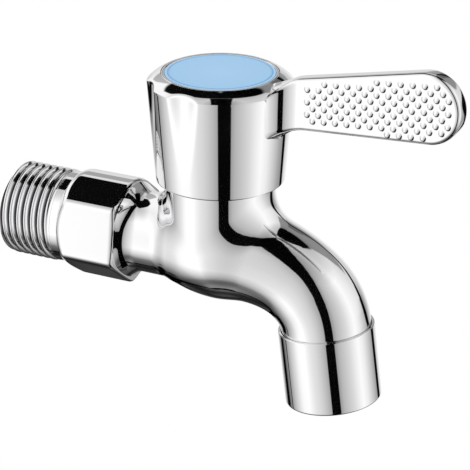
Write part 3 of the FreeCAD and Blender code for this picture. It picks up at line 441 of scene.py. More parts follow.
def spanner_boss():
    """Collar, faceted boss and its blend to the waist: a turned skin pressed in by the flats."""
    reach = BOSS_BARREL
    fall = BOSS_FACE_RADIUS - WAIST_RADIUS - BOSS_FILLET * (1 - math.cos(BOSS_CONE))
    foot = BOSS_END + fall / math.tan(BOSS_CONE) + BOSS_FILLET * math.sin(BOSS_CONE)
    outline = [(HIDDEN_RADIUS, THREAD_LENGTH), (COLLAR_RADIUS - COLLAR_EASE, THREAD_LENGTH),
               (COLLAR_RADIUS, THREAD_LENGTH + COLLAR_EASE)]
    outline += [(COLLAR_RADIUS, THREAD_LENGTH + COLLAR_EASE + 0.2 * k) for k in range(1, 10)]
    outline += [(COLLAR_RADIUS + 0.3, BOSS_START)]
    outline += [(reach - BOSS_SLOPE + k / 9 * BOSS_SLOPE, BOSS_START + k / 9 * BOSS_SLOPE) for k in range(10)]
    length = BOSS_END - BOSS_START - BOSS_SLOPE - 1.0
    outline += [(reach, BOSS_START + BOSS_SLOPE + length * k / 40) for k in range(1, 41)]
    for k in range(1, 9):
        turn = math.pi / 2 * k / 8
        outline.append((reach - 1 + math.cos(turn), BOSS_END - 1 + math.sin(turn)))
    outline += [(reach - 1 - (reach - 1 - BOSS_FACE_RADIUS) * k / 3, BOSS_END) for k in range(1, 4)]
    for k in range(17):
        turn = BOSS_CONE * (1 - k / 16)
        outline.append((WAIST_RADIUS + BOSS_FILLET * (1 - math.cos(turn)),
                        foot - BOSS_FILLET * math.sin(turn)))
    outline += [(WAIST_RADIUS - 0.06, foot + 1.2), (HIDDEN_RADIUS, foot + 1.2)]
    shape = spun([Vector(p) for p in outline], 240)
    shape.transform(ALONG_X)

    def press(places):
        radius = np.hypot(places[:, 1], places[:, 2])
        angle = np.arctan2(places[:, 2], -places[:, 1])
        flats = [(BOSS_FLATS / 2, BOSS_ROLL + 60 * side) for side in range(6)]
        flats.append((BOSS_TOP_FLAT, BOSS_ROLL + 90))
        drop = BOSS_END_DROP * np.clip((places[:, 0] - BOSS_END) / BOSS_END_EASE + 1, 0, 1) ** 2
        limits = [radius]
        for distance, facing in flats:
            facing_cosine = np.cos(angle - math.radians(facing))
            limits.append((distance - drop) / np.maximum(facing_cosine, 0.2))
        wanted = soft_least(limits, BOSS_SOFTNESS)
        wanted = np.where(radius < COLLAR_RADIUS - 0.05, radius, wanted)
        places[:, 1:] *= (wanted / radius)[:, None]
        return places
    reshape(shape, press)
    return shape


# Cast body

def through(knots, values):
    """A smooth curve through values at knots, for arrays."""
    knots, values = np.array(knots), np.array(values)
    slopes = np.gradient(values, knots)
    slopes[0] = slopes[-1] = 0.0

    def curve(at):
        at = np.clip(at, knots[0], knots[-1])
        span = np.clip(np.searchsorted(knots, at) - 1, 0, len(knots) - 2)
        width = knots[span + 1] - knots[span]
        share = (at - knots[span]) / width
        ease = share * share * (3 - 2 * share)
        return (values[span] * (1 - ease) + values[span + 1] * ease
                + slopes[span] * width * share * (1 - share) ** 2
                - slopes[span + 1] * width * share ** 2 * (1 - share))
    return curve


BEND = np.array([[BELLY_X, 0.0], [BELLY_X + 12.0, 0.0],
                 [OUTLET.x - OUTLET_AXIS.x * 9.0, OUTLET.z - OUTLET_AXIS.z * 9.0], [OUTLET.x, OUTLET.z]])
STATIONS = (-0.394, -0.276, -0.15, 0.0, 0.25, 0.5, 0.75, 1.0)
half_width = through(STATIONS, (8.95, 10.22, 11.63, 12.3, 10.56, 9.65, 9.7, 9.75))
half_depth = through(STATIONS, (8.95, 9.77, 10.67, 11.1, 10.13, 9.65, 9.7, 9.75))


def centreline(share):
    """Places and slopes, in the XZ plane, of the body's centreline: straight, a cubic bend, straight."""
    inside = np.clip(share, 0, 1)[:, None]
    back = 1 - inside
    start, first, last, end = BEND
    place = (start * back ** 3 + first * 3 * back ** 2 * inside
             + last * 3 * back * inside ** 2 + end * inside ** 3)
    slope = 3 * ((first - start) * back ** 2 + (last - first) * 2 * back * inside
                 + (end - last) * inside ** 2)
    return place + slope * (share[:, None] - inside), slope


def body_gap(places):
    """How far places lie outside the body's skin, with the neck blended into the tube."""
    flat = places[:, [0, 2]]
    guesses = np.linspace(-0.65, 1.5, 36)
    line = centreline(guesses)[0]
    share = guesses[((flat[:, None] - line) ** 2).sum(-1).argmin(1)]
    for _ in range(3):
        middle, slope = centreline(share)
        share = share + ((flat - middle) * slope).sum(1) / (slope ** 2).sum(1)
    middle, slope = centreline(share)
    slope = slope / np.linalg.norm(slope, axis=1)[:, None]
    up = (flat[:, 0] - middle[:, 0]) * -slope[:, 1] + (flat[:, 1] - middle[:, 1]) * slope[:, 0]
    wide, deep = half_width(share), half_depth(share)
    tube = (np.hypot(places[:, 1] / wide, up / deep) - 1) * np.minimum(wide, deep)
    off = places - np.array([HUB_X, 0.0, 2.0])
    off[:, 2] = np.minimum(off[:, 2], 0)
    reach = np.linalg.norm(off, axis=1)
    neck = reach - NECK_RADIUS
    tube_facing = np.stack([up / deep ** 2 * -slope[:, 1], places[:, 1] / wide ** 2,
                            up / deep ** 2 * slope[:, 0]], 1)
    tube_facing /= np.maximum(np.linalg.norm(tube_facing, axis=1), 1e-9)[:, None]
    agree = (tube_facing * off).sum(1) / np.maximum(reach, 1e-9)
    blend = np.maximum(NECK_BLEND * (1 - agree), 0.05)
    overlap = np.clip(0.5 + 0.5 * (neck - tube) / blend, 0, 1)
    return neck * (1 - overlap) + tube * overlap - blend * overlap * (1 - overlap)


def settle(places):
    """Move places onto the body's skin."""
    step = 0.02
    for _ in range(3):
        gap = body_gap(places)
        slope = np.stack([(body_gap(places + step * axis) - gap) / step for axis in np.eye(3)], 1)
        length = np.maximum((slope ** 2).sum(1), 0.05)
        places = places - np.clip(gap / length, -1.5, 1.5)[:, None] * slope
    return places


def cast_body():
    """Waist, belly, neck and spout in one skin: rough solids fused by remeshing, then settled."""
    rough = bmesh.new()
    shares = np.linspace(-0.55, 1.45, 41)
    middles, slopes = centreline(shares)
    loops = []
    for share, middle, slope in zip(shares, middles, slopes):
        turn = Matrix.Rotation(math.pi / 2 + math.atan2(-slope[1], slope[0]), 4, "Y")
        size = Matrix.Diagonal((half_depth(share), half_width(share), 1, 1))
        place = Matrix.Translation((middle[0], 0, middle[1])) @ turn @ size
        ends = share in (shares[0], shares[-1])
        circle = bmesh.ops.create_circle(rough, segments=48, radius=1, cap_ends=bool(ends),
                                         matrix=place)["verts"]
        loops.append(list({e for v in circle for e in v.link_edges}))
    for first, second in zip(loops, loops[1:]):
        bmesh.ops.bridge_loops(rough, edges=first + second)
    bmesh.ops.create_cone(rough, cap_ends=True, segments=64, radius1=NECK_RADIUS, radius2=NECK_RADIUS,
                          depth=NECK_TOP + 3, matrix=Matrix.Translation((HUB_X, 0, (NECK_TOP + 3) / 2)))
    bmesh.ops.recalc_face_normals(rough, faces=rough.faces)
    mesh = bpy.data.meshes.new("rough_body")
    rough.to_mesh(mesh)
    rough.free()
    blank = bpy.data.objects.new("rough_body", mesh)
    bpy.context.scene.collection.objects.link(blank)
    fused = blank.modifiers.new("fuse", "REMESH")
    fused.mode = "VOXEL"
    fused.voxel_size = BODY_VOXEL
    bpy.context.view_layer.update()
    skin = bpy.data.meshes.new_from_object(blank.evaluated_get(bpy.context.evaluated_depsgraph_get()))
    bpy.data.objects.remove(blank)
    shape = bmesh.new()
    shape.from_mesh(skin)
    for _ in range(4):
        reshape(shape, settle)
        for _ in range(3):
            bmesh.ops.smooth_vert(shape, verts=shape.verts, factor=0.5, use_axis_x=True, use_axis_y=True,
                                  use_axis_z=True)
    reshape(shape, settle)
    cuts = (((BOSS_END + 3.0, 0, 0), (-1, 0, 0)), ((HUB_X, 0, NECK_TOP), (0, 0, 1)),
            (OUTLET + OUTLET_AXIS * SPOUT_INSERT, OUTLET_AXIS))
    for place, facing in cuts:
        bmesh.ops.bisect_plane(shape, geom=shape.verts[:] + shape.edges[:] + shape.faces[:], dist=ON_PLANE,
                               plane_co=place, plane_no=facing, clear_outer=True)
        bmesh.ops.holes_fill(shape, edges=[e for e in shape.edges if e.is_boundary])
    return shape


# Handle

def handle_hub():
    """The hub with its skirt and web: a turned solid whose side is scalloped away from the lever."""
    slope = (SHOULDER_RADIUS - HANDLE_BOTTOM_RADIUS) / (SHOULDER - HANDLE_BOTTOM)
    inside = eased([(SOCKET_BORE, SOCKET_BOTTOM, 0), (SOCKET_RADIUS, SOCKET_BOTTOM, 0.2),
                    (SOCKET_RADIUS, WEB_BOTTOM, 0), (SKIRT_BORE, WEB_BOTTOM, 0.4),
                    (SKIRT_BORE, HANDLE_BOTTOM, 0.15), (HANDLE_BOTTOM_RADIUS, HANDLE_BOTTOM, 0.4),
                    (SHOULDER_RADIUS, SHOULDER, 0)])
    outline = inside[:-1]
    start = outline[-1].y + 0.3
    rows = 60
    outline += [Vector((HANDLE_BOTTOM_RADIUS + slope * (z - HANDLE_BOTTOM), z))
                for z in np.linspace(start, SHOULDER - 0.25, rows)]
    bevel = 12
    for k in range(bevel + 1):
        share = k / bevel
        radius = SHOULDER_RADIUS - 0.03 + (RIM_RADIUS - SHOULDER_RADIUS + 0.03) * share
        bulge = CHAMFER_BULGE * math.sin(math.pi * share)
        height = SHOULDER + (HANDLE_TOP - SHOULDER) * share
        outline.append(Vector((radius, height)) + Vector(CHAMFER_FACING) * bulge)
    outline += eased([(RIM_RADIUS, HANDLE_TOP, 0), (RIM_RADIUS, PLUG_SEAT, 0.1),
                      (PLUG_RECESS, PLUG_SEAT, 0.1), (PLUG_RECESS, WEB_TOP, 0.2), (SCREW_HOLE, WEB_TOP, 0),
                      (SCREW_HOLE, SOCKET_TOP, 0), (SOCKET_BORE, SOCKET_TOP, 0)])[1:]
    shape = spun(outline, 360)

    def scallop(places):
        radius = np.hypot(places[:, 0], places[:, 1])
        angle = np.arctan2(places[:, 1], places[:, 0])
        limits = [radius]
        for number in range(FLUTES):
            off = angle - math.radians(FLUTE_FIRST + FLUTE_STEP * number)
            off = (off + math.pi) % math.tau - math.pi
            away = FLUTE_REACH + FLUTE_RADIUS
            inside = FLUTE_RADIUS ** 2 - (away * np.sin(off)) ** 2
            near = away * np.cos(off) - np.sqrt(np.maximum(inside, 0))
            limits.append(np.where((inside > 0) & (np.abs(off) < 1), near, 99.0))
        wanted = soft_least(limits, FLUTE_SOFTNESS)
        wanted = np.where(radius > SKIRT_BORE + 1.2, wanted, radius)
        places[:, :2] *= (wanted / radius)[:, None]
        return places
    reshape(shape, scallop)
    shape.transform(IN_HANDLE)
    return shape


def arc(centre, radius, first, last, steps):
    """Points along an arc in the plane, both ends included."""
    turns = [first + (last - first) * k / steps for k in range(steps + 1)]
    return [centre + Vector((math.cos(t), math.sin(t))) * radius for t in turns]


def lever_outline():
    """The blade seen from the side, as (reach, height), anticlockwise from its foot."""
    low_tip = TIP + Vector((math.cos(TIP_LOW_ANGLE), math.sin(TIP_LOW_ANGLE))) * TIP_RADIUS
    top_tip = TIP + Vector((math.cos(TIP_TOP_ANGLE), math.sin(TIP_TOP_ANGLE))) * TIP_RADIUS
    run = (low_tip - THROAT).normalized()
    down = Vector((run.y, -run.x))
    drop = FOOT_LOW - THROAT
    hollow_radius = drop.dot(drop) / (2 * drop.dot(down))
    hollow = THROAT + down * hollow_radius
    first = math.atan2(*(FOOT_LOW - hollow).yx)
    last = math.atan2(*(THROAT - hollow).yx)
    points = [INNER_LOW] + arc(hollow, hollow_radius, first, last, 14)
    points += [THROAT.lerp(low_tip, k / 8) for k in range(1, 8)]
    points += arc(TIP, TIP_RADIUS, TIP_LOW_ANGLE, TIP_TOP_ANGLE, 40)
    points += [top_tip.lerp(ROOT, k / 8) for k in range(1, 8)]
    crown = eased([(*top_tip, 0), (*ROOT, 14.0), (*FOOT_TOP, 4.0), (*INNER_TOP, 0)], 6, 0.3)
    return points + crown[1:]


def flare(reach, height, half, fillet):
    """How far a fillet that touches hub and blade lifts the blade's side, and the hub itself further in."""
    taper = (SHOULDER_RADIUS - HANDLE_BOTTOM_RADIUS) / (SHOULDER - HANDLE_BOTTOM)
    hub = HANDLE_BOTTOM_RADIUS + taper * (np.minimum(height, SHOULDER) - HANDLE_BOTTOM) - 0.015
    centre = np.sqrt((hub + fillet) ** 2 - (half + fillet) ** 2)
    touch = hub * centre / (hub + fillet)
    off = np.clip(centre - np.maximum(reach, touch), 0, fillet)
    inside = np.sqrt(np.maximum(hub ** 2 - np.minimum(reach, touch) ** 2, 0)) - half - (touch - reach) * 0.3
    return np.where(reach < touch, inside, fillet - np.sqrt(fillet ** 2 - off ** 2))


def lever_blade():
    """The flat blade with rounded edges, flared into the hub on both sides."""
    shape = bmesh.new()
    front = shape.faces.new([shape.verts.new((p.x, -LEVER_FRONT, p.y)) for p in lever_outline()])
    grown = bmesh.ops.extrude_face_region(shape, geom=[front])["geom"]
    far = [g for g in grown if isinstance(g, bmesh.types.BMVert)]
    bmesh.ops.translate(shape, verts=far, vec=(0, LEVER_FRONT + LEVER_BACK, 0))
    bmesh.ops.recalc_face_normals(shape, faces=shape.faces)
    rims = [e for e in shape.edges if abs(e.verts[0].co.y - e.verts[1].co.y) < 0.01]
    bmesh.ops.bevel(shape, geom=rims, offset=LEVER_EDGE, offset_type="OFFSET", segments=4, profile=0.5,
                    affect="EDGES", material=-1, clamp_overlap=True)
    sides = [f for f in shape.faces if len(f.verts) > 20]
    bmesh.ops.inset_region(shape, faces=sides, thickness=0.12)
    cuts = [((reach, 0, 0), (1, 0, 0)) for reach in LEVER_CUTS] + [((0, 0, 0), (0, 1, 0))]
    for place, facing in cuts:
        bmesh.ops.bisect_plane(shape, geom=shape.verts[:] + shape.edges[:] + shape.faces[:], dist=ON_PLANE,
                               plane_co=place, plane_no=facing)

    def spread(places):
        for side, half, fillet in ((-1, LEVER_FRONT, FRONT_FILLET), (1, LEVER_BACK, BACK_FILLET)):
            here = places[:, 1] * side > 0.01
            lift = flare(places[here, 0], places[here, 2], half, fillet)
            high = places[here, 2] > LEVER_MIDDLE_HEIGHT
            places[here, 2] += lift * np.where(high, -FLARE_FALL, FLARE_RISE)
            lift = flare(places[here, 0], places[here, 2], half, fillet)
            places[here, 1] += side * lift
        return places
    reshape(shape, spread)
    shape.transform(IN_HANDLE)
    return shape


def grip_studs():
    """Staggered raised studs on both faces of the blade, inside a plain border."""
    def room(point):
        low_tip = TIP + Vector((math.cos(TIP_LOW_ANGLE), math.sin(TIP_LOW_ANGLE))) * TIP_RADIUS
        top_tip = TIP + Vector((math.cos(TIP_TOP_ANGLE), math.sin(TIP_TOP_ANGLE))) * TIP_RADIUS
        run = (low_tip - THROAT).normalized()
        rise = (top_tip - ROOT).normalized()
        above = (point - THROAT).dot(Vector((-run.y, run.x)))
        below = (point - ROOT).dot(Vector((rise.y, -rise.x)))
        tip = TIP_RADIUS - (point - TIP).length if point.x > TIP.x else 99.0
        return min(above, below, tip)
    stud = bmesh.new()
    bmesh.ops.create_uvsphere(stud, u_segments=14, v_segments=12, radius=1)
    bmesh.ops.bisect_plane(stud, geom=stud.verts[:] + stud.edges[:] + stud.faces[:], dist=ON_PLANE,
                           plane_co=(0, 0, 0), plane_no=(0, 0, -1), clear_outer=True)

    def lean(places):
        across = places[:, 0] ** 2 + places[:, 1] ** 2
        places[:, 2] = (1 - across) * (1 - STUD_LEAN * places[:, 1]) - 0.04
        return places
    reshape(stud, lean)
    pattern = bpy.data.meshes.new("stud")
    stud.to_mesh(pattern)
    stud.free()
    shape = bmesh.new()
    along = Vector((math.cos(STUD_TILT), math.sin(STUD_TILT))) * STUD_PITCH
    up = Vector((0.0, STUD_ROW))
    for side, half in ((-1, LEVER_FRONT), (1, LEVER_BACK)):
        for row in range(-8, 9):
            for column in range(-2, 16):
                point = STUD_START + along * (column + row % 2 / 2) + up * (row / 2)
                if point.x < STUD_FIRST_REACH or room(point) < STUD_BORDER:
                    continue
                before = len(shape.verts)
                shape.from_mesh(pattern)
                shape.verts.ensure_lookup_table()
                place = (Matrix.Translation((point.x, side * half, point.y))
                         @ Matrix.Rotation(-side * math.pi / 2, 4, "X")
                         @ Matrix.Diagonal((STUD_RADIUS, -side * STUD_RADIUS, STUD_HEIGHT, 1)))
                bmesh.ops.transform(shape, matrix=place, verts=shape.verts[before:])
    bpy.data.meshes.remove(pattern)
    shape.transform(IN_HANDLE)
    return shape


# Outlet and index

def outlet_sleeve():
    """The sleeve on the spout's end, with the cavity that holds the aerator."""
    ledge = AERATOR_SEAT + AERATOR_FLANGE
    lip = AERATOR_SEAT + AERATOR_LENGTH + 0.04
    shape = spun(eased([(SLEEVE_BORE, 0.0, 0.28), (SLEEVE_RADIUS, 0.0, 0.2),
                        (SLEEVE_RADIUS, SLEEVE_LENGTH, 0.45), (SLEEVE_MOUTH, SLEEVE_LENGTH, 0.12),
                        (SLEEVE_LIP, lip, 0.08), (SLEEVE_CAVITY, lip, 0.05), (SLEEVE_CAVITY, ledge, 0.05),
                        (SLEEVE_BORE, ledge, 0.05)]), 160)
    shape.transform(IN_OUTLET)
    return shape


def aerator_ring():
    """The aerator's plastic cup, seen inside the sleeve's mouth."""
    shape = spun(eased([(AERATOR_BORE, 0.0, 0.1), (AERATOR_FLANGE_RADIUS, 0.0, 0.1),
                        (AERATOR_FLANGE_RADIUS, AERATOR_FLANGE, 0.1), (AERATOR_RADIUS, AERATOR_FLANGE, 0.05),
                        (AERATOR_RADIUS, AERATOR_LENGTH, 0.12), (AERATOR_MOUTH, AERATOR_LENGTH, 0.12),
                        (AERATOR_MOUTH, AERATOR_LEDGE, 0.08), (AERATOR_BORE, AERATOR_LEDGE, 0.05)]), 128)
    shape.transform(IN_OUTLET @ Matrix.Translation((0, 0, AERATOR_SEAT)))
    return shape


def index_rim():
    """The chromed cap, with its skirt and the rim round the disc."""
    seat = DISC_SEAT - PLUG_SEAT
    shape = spun(eased([(0.0, 0.0, 0), (PLUG_SKIRT_BORE, 0.0, 0.05),
                        (PLUG_SKIRT_BORE, -PLUG_SKIRT_DEPTH, 0.05),
                        (PLUG_SKIRT_RADIUS, -PLUG_SKIRT_DEPTH, 0.1), (PLUG_SKIRT_RADIUS, 0.0, 0.05),
                        (PLUG_RADIUS, 0.0, 0.05), (PLUG_RADIUS, PLUG_RIM_HEIGHT, PLUG_RIM_EASE),
                        (DISC_SHOWN, PLUG_RIM_HEIGHT, PLUG_RIM_EASE), (DISC_SHOWN, seat, 0.03),
                        (0.0, seat, 0)]), 160)
    shape.transform(Matrix.Translation((HUB_X, 0, PLUG_SEAT)))
    return shape


def index_disc():
    """The coloured disc, with a shallow moulded ring inside its edge."""
    edge = DISC_SHOWN - 0.02
    shape = spun(eased([(0.0, 0.0, 0), (edge, 0.0, 0.05), (edge, DISC_HEIGHT, 0.14),
                        (11.2, DISC_HEIGHT, 0.08), (11.05, 0.48, 0.08), (10.9, DISC_HEIGHT, 0.08),
                        (0.0, DISC_HEIGHT, 0)]), 160)
    shape.transform(Matrix.Translation((HUB_X, 0, DISC_SEAT)))
    return shape


piece("inlet_shank", inlet_shank(), CHROME_THREAD_PAINTED_ROOT_SHADE, "body", "chrome_plated_brass", "tap_body")
piece("spanner_boss", spanner_boss(), CHROME_BRASS, "body", "chrome_plated_brass", "tap_body")
piece("cast_body", cast_body(), CHROME_BRASS, "body", "chrome_plated_brass", "tap_body", sharp=50)
piece("outlet_sleeve_shell", outlet_sleeve(), CHROME_BRASS, "body", "chrome_plated_brass", "outlet_sleeve")
piece("aerator_ring", aerator_ring(), WHITE_ACETAL, "body", "white_plastic", "aerator_housing")
piece("handle_hub", handle_hub(), CHROME_ZINC, "handle", "chrome_plated_zinc", "lever_handle")
piece("lever_blade", lever_blade(), CHROME_ZINC, "handle", "chrome_plated_zinc", "lever_handle")
piece("grip_studs", grip_studs(), CHROME_ZINC, "handle", "chrome_plated_zinc", "lever_handle", sharp=80)
piece("index_rim", index_rim(), CHROME_PLASTIC, "handle", "chrome_plated_plastic", "index_plug")
piece("index_face", index_disc(), BLUE_PLASTIC_PAINTED_GROOVE_SHADING, "handle", "blue_plastic", "index_disc")


# Studio

# Brightness all round at eye level, as (azimuth from the camera, brightness on screen)
AROUND = ((-180, 0.80), (-168, 0.84), (-158, 0.72), (-150, 0.5), (-130, 0.4), (-112, 0.66), (-100, 0.8),
          (-90, 0.88), (-80, 0.97), (-72, 1.0), (-58, 1.0), (-50, 0.94), (-40, 0.88), (-30, 0.84),
          (-20, 0.78), (-10, 0.7), (-5, 0.64), (18, 0.6), (25, 0.7), (35, 0.76), (50, 0.84), (62, 0.92),
          (74, 0.98), (88, 0.92), (103, 0.8), (110, 0.74), (120, 0.64), (130, 0.56), (150, 0.84),
          (165, 0.92), (180, 0.80))
# The same above eye level
ABOVE = ((-180, 0.84), (-165, 0.88), (-150, 0.96), (-120, 0.96), (-100, 0.92), (-80, 0.97), (-72, 1.0),
         (-58, 1.0), (-50, 0.94), (-40, 0.88), (-20, 0.78), (-5, 0.64), (18, 0.6), (25, 0.7), (35, 0.76),
         (50, 0.84), (62, 0.92), (74, 0.98), (88, 0.94), (103, 0.9), (120, 0.84), (140, 0.8), (160, 0.78),
         (180, 0.84))
# How much of that is left, by elevation
HEIGHTS = ((-90, 0.6), (-80, 0.58), (-70, 0.5), (-60, 0.4), (-54, 0.46), (-48, 0.7), (-40, 0.86), (-28, 1.0),
           (40, 1.0), (55, 0.86), (64, 0.8), (74, 0.76), (90, 0.76))
# Lower edge of the black canopy overhead and behind, as (azimuth, elevation)
CANOPY = ((-180, 70), (-169, 66), (-164, 46), (-155, 38), (-128, 38), (-119, 46), (-112, 62), (-102, 72),
          (-90, 84), (90, 84), (102, 72), (112, 61), (122, 53), (146, 50), (160, 62), (180, 70))
# Middle of the black line low down, as (azimuth, elevation)
LOW_LINE = ((-180, -28), (-167, -39), (-150, -45), (-135, -51), (-125, -56), (-112, -62), (-100, -68),
            (-90, -74), (-60, -76), (0, -74), (60, -70), (120, -60), (150, -45), (180, -28))
# Elevations between which the lower panels turn into the upper ones
EYE_LEVEL = (-6.0, 8.0)
# The card at the camera, in parts of the sight line: half width, soft edge, and (height, shift) low and high
FRONT_CARD_HALF = 0.155
FRONT_CARD_EDGE = 0.02
FRONT_CARD_LOW = (0.3, 0.105)
FRONT_CARD_HIGH = (0.8, 0.015)
# Half width of the card at the left, as (elevation, degrees) above and at its foot
LEFT_CARD_TOP = (-30.0, 6.0)
LEFT_CARD_FOOT = (-38.0, 13.0)
# The card at the right bows: its azimuth at its waist, the waist's elevation, and its bow per square degree
RIGHT_CARD_AZIMUTH = 121.0
RIGHT_CARD_WAIST = -5.0
RIGHT_CARD_BOW = 26.0 / 625.0
# Soft ends of cards and shades in degrees, and what light a black card still gives
CARD_END = 6.0
CARD_LIGHT = 0.004
# Grey shades, as (azimuth, half width, soft edge, elevation, half height) and the light that each leaves
RIGHT_SHADE = ((144.0, 16.0, 6.0, 46.0, 22.0), 0.4)
REAR_SHADE = ((180.0, 26.0, 6.0, 25.0, 8.0), 0.5)
LOW_REAR_SHADE = ((176.0, 16.0, 6.0, -48.0, 8.0), 0.2)
# Light under the low line, and the strength at which a mirror sees the panels
UNDER_LINE_LIGHT = 0.5
MIRROR_STRENGTH = 1.14
SCREEN_GAMMA = 2.2


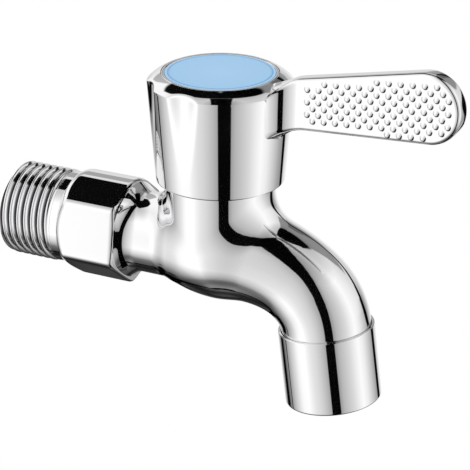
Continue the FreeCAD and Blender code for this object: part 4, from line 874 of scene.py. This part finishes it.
def studio_light():
    """White soft light all round; mirrors see tall white panels, with black cards between and overhead."""
    world = bpy.data.worlds.new("studio")
    bpy.context.scene.world = world
    world.use_nodes = True
    tree = world.node_tree
    tree.nodes.clear()

    def past(value, line, first, last):
        """0 at first beyond a line and 1 at last beyond it, eased between."""
        beyond = node(tree, "ShaderNodeMath", {0: value, 1: line}, operation="SUBTRACT").outputs[0]
        return node(tree, "ShaderNodeMapRange", {"Value": beyond, "From Min": first, "From Max": last},
                    interpolation_type="SMOOTHSTEP").outputs[0]

    def outside(value, middle, half, edge):
        """0 within half of the middle, and 1 beyond its soft edge."""
        off = node(tree, "ShaderNodeMath", {0: value, 1: middle}, operation="SUBTRACT").outputs[0]
        distance = node(tree, "ShaderNodeMath", {0: off}, operation="ABSOLUTE").outputs[0]
        return past(distance, half, 0.0, edge)

    def card(turn, middle, half, edge, height, reach):
        """0 on a card at an azimuth and an elevation, and 1 off it."""
        beside = outside(turn, middle, half, edge)
        over = outside(elevation, height, reach, CARD_END)
        return node(tree, "ShaderNodeMath", {0: beside, 1: over}, operation="MAXIMUM").outputs[0]

    def brightness(angle, stops):
        """The light that shows at the screen brightness of (degrees, brightness) stops."""
        return graded(tree, angle, [(place, [shown ** SCREEN_GAMMA] * 3 + [1.0]) for place, shown in stops])

    def line_round(stops, furthest):
        """An elevation that follows (azimuth, elevation) stops, none past the furthest."""
        share = graded(tree, azimuth, [(place, [height / furthest] * 3 + [1.0]) for place, height in stops])
        return node(tree, "ShaderNodeMath", {0: share, 1: furthest}, operation="MULTIPLY").outputs[0]

    def dimmed(light, mask, least):
        """Light where a mask is 1, and its least share where the mask is 0."""
        kept = node(tree, "ShaderNodeMath", {0: mask, 1: least}, operation="MAXIMUM").outputs[0]
        return node(tree, "ShaderNodeMath", {0: light, 1: kept}, operation="MULTIPLY").outputs[0]

    sight = node(tree, "ShaderNodeTexCoord").outputs["Generated"]
    turned = node(tree, "ShaderNodeVectorRotate", {"Vector": sight, "Angle": -CAMERA_AZIMUTH},
                  rotation_type="Z_AXIS").outputs[0]
    side, away, up = node(tree, "ShaderNodeSeparateXYZ", {0: turned}).outputs
    near = node(tree, "ShaderNodeMath", {0: away, 1: -1.0}, operation="MULTIPLY").outputs[0]
    around = node(tree, "ShaderNodeMath", {0: side, 1: near}, operation="ARCTAN2").outputs[0]
    azimuth = node(tree, "ShaderNodeMath", {0: around}, operation="DEGREES").outputs[0]
    rise = node(tree, "ShaderNodeMath", {0: up}, operation="ARCSINE").outputs[0]
    elevation = node(tree, "ShaderNodeMath", {0: rise}, operation="DEGREES").outputs[0]

    # White panels, and their fall above and below
    panels = node(tree, "ShaderNodeMix", {0: past(elevation, 0.0, *EYE_LEVEL), 2: brightness(azimuth, AROUND),
                                          3: brightness(azimuth, ABOVE)}).outputs[0]
    left = brightness(elevation, HEIGHTS)
    light = node(tree, "ShaderNodeMath", {0: panels, 1: left}, operation="MULTIPLY").outputs[0]
    low = line_round(LOW_LINE, -90.0)
    light = dimmed(light, past(elevation, low, -3.0, 0.0), UNDER_LINE_LIGHT)

    # Black cards, canopy and line
    shift = node(tree, "ShaderNodeMapRange", {"Value": up, "From Min": FRONT_CARD_LOW[0],
                                              "From Max": FRONT_CARD_HIGH[0], "To Min": FRONT_CARD_LOW[1],
                                              "To Max": FRONT_CARD_HIGH[1]}).outputs[0]
    beside = outside(side, shift, FRONT_CARD_HALF, FRONT_CARD_EDGE)
    behind = node(tree, "ShaderNodeMath", {0: near, 1: 0.0}, operation="LESS_THAN").outputs[0]
    front_card = node(tree, "ShaderNodeMath", {0: beside, 1: behind}, operation="MAXIMUM").outputs[0]
    under = past(elevation, line_round(CANOPY, 90.0), 2.0, -2.0)
    in_front = past(near, 0.0, -0.02, 0.02)
    canopy = node(tree, "ShaderNodeMath", {0: under, 1: in_front}, operation="MAXIMUM").outputs[0]
    low_line = outside(elevation, low, 1.6, 1.5)
    spread = node(tree, "ShaderNodeMapRange", {"Value": elevation, "From Min": LEFT_CARD_TOP[0],
                                               "From Max": LEFT_CARD_FOOT[0], "To Min": LEFT_CARD_TOP[1],
                                               "To Max": LEFT_CARD_FOOT[1]}).outputs[0]
    left_card = card(azimuth, middle=-139.0, half=spread, edge=2.0, height=-25.0, reach=20.0)
    left_line = card(azimuth, middle=-118.0, half=1.0, edge=1.5, height=-22.0, reach=16.0)
    off_waist = node(tree, "ShaderNodeMath", {0: elevation, 1: RIGHT_CARD_WAIST}, operation="SUBTRACT")
    distance = node(tree, "ShaderNodeMath", {0: off_waist.outputs[0]}, operation="ABSOLUTE").outputs[0]
    bow = node(tree, "ShaderNodeMath", {0: distance, 1: 2.0}, operation="POWER").outputs[0]
    curve = node(tree, "ShaderNodeMath", {0: bow, 1: RIGHT_CARD_BOW, 2: RIGHT_CARD_AZIMUTH},
                 operation="MULTIPLY_ADD").outputs[0]
    right_card = card(azimuth, middle=curve, half=5.0, edge=2.0, height=RIGHT_CARD_WAIST, reach=32.0)
    for mask in (front_card, canopy, low_line, left_card, left_line, right_card):
        light = dimmed(light, mask, CARD_LIGHT)

    # Grey shades: one at the right, and two that straddle the rear
    rear = node(tree, "ShaderNodeMath", {0: azimuth}, operation="ABSOLUTE").outputs[0]
    for turn, (place, least) in ((azimuth, RIGHT_SHADE), (rear, REAR_SHADE), (rear, LOW_REAR_SHADE)):
        light = dimmed(light, card(turn, *place), least)
    seen = node(tree, "ShaderNodeBackground", {"Color": light, "Strength": MIRROR_STRENGTH}).outputs[0]
    plain = node(tree, "ShaderNodeBackground", {"Color": linear("#FFFFFF"), "Strength": 1.0}).outputs[0]
    mirrored = node(tree, "ShaderNodeLightPath").outputs["Is Glossy Ray"]
    node(tree, "ShaderNodeOutputWorld",
         {0: node(tree, "ShaderNodeMixShader", {0: mirrored, 1: plain, 2: seen}).outputs[0]})


def photo_camera():
    """A long lens at the photograph's viewing angle."""
    azimuth, elevation = CAMERA_AZIMUTH, CAMERA_ELEVATION
    back = Vector((math.sin(azimuth) * math.cos(elevation), -math.cos(azimuth) * math.cos(elevation),
                   math.sin(elevation)))
    right = Vector((math.cos(azimuth), math.sin(azimuth), 0))
    turn = Matrix((right, back.cross(right), back)).transposed() @ Matrix.Rotation(CAMERA_ROLL, 3, "Z")
    lens = bpy.data.cameras.new("photo_camera")
    lens.lens = CAMERA_LENS
    lens.sensor_width = 36.0
    lens.clip_start = 0.01
    camera = bpy.data.objects.new("photo_camera", lens)
    camera.matrix_world = Matrix.Translation(CAMERA_PLACE) @ turn.to_4x4()
    bpy.context.scene.collection.objects.link(camera)
    bpy.context.scene.camera = camera


studio_light()
photo_camera()
bpy.context.scene.view_settings.view_transform = "Standard"
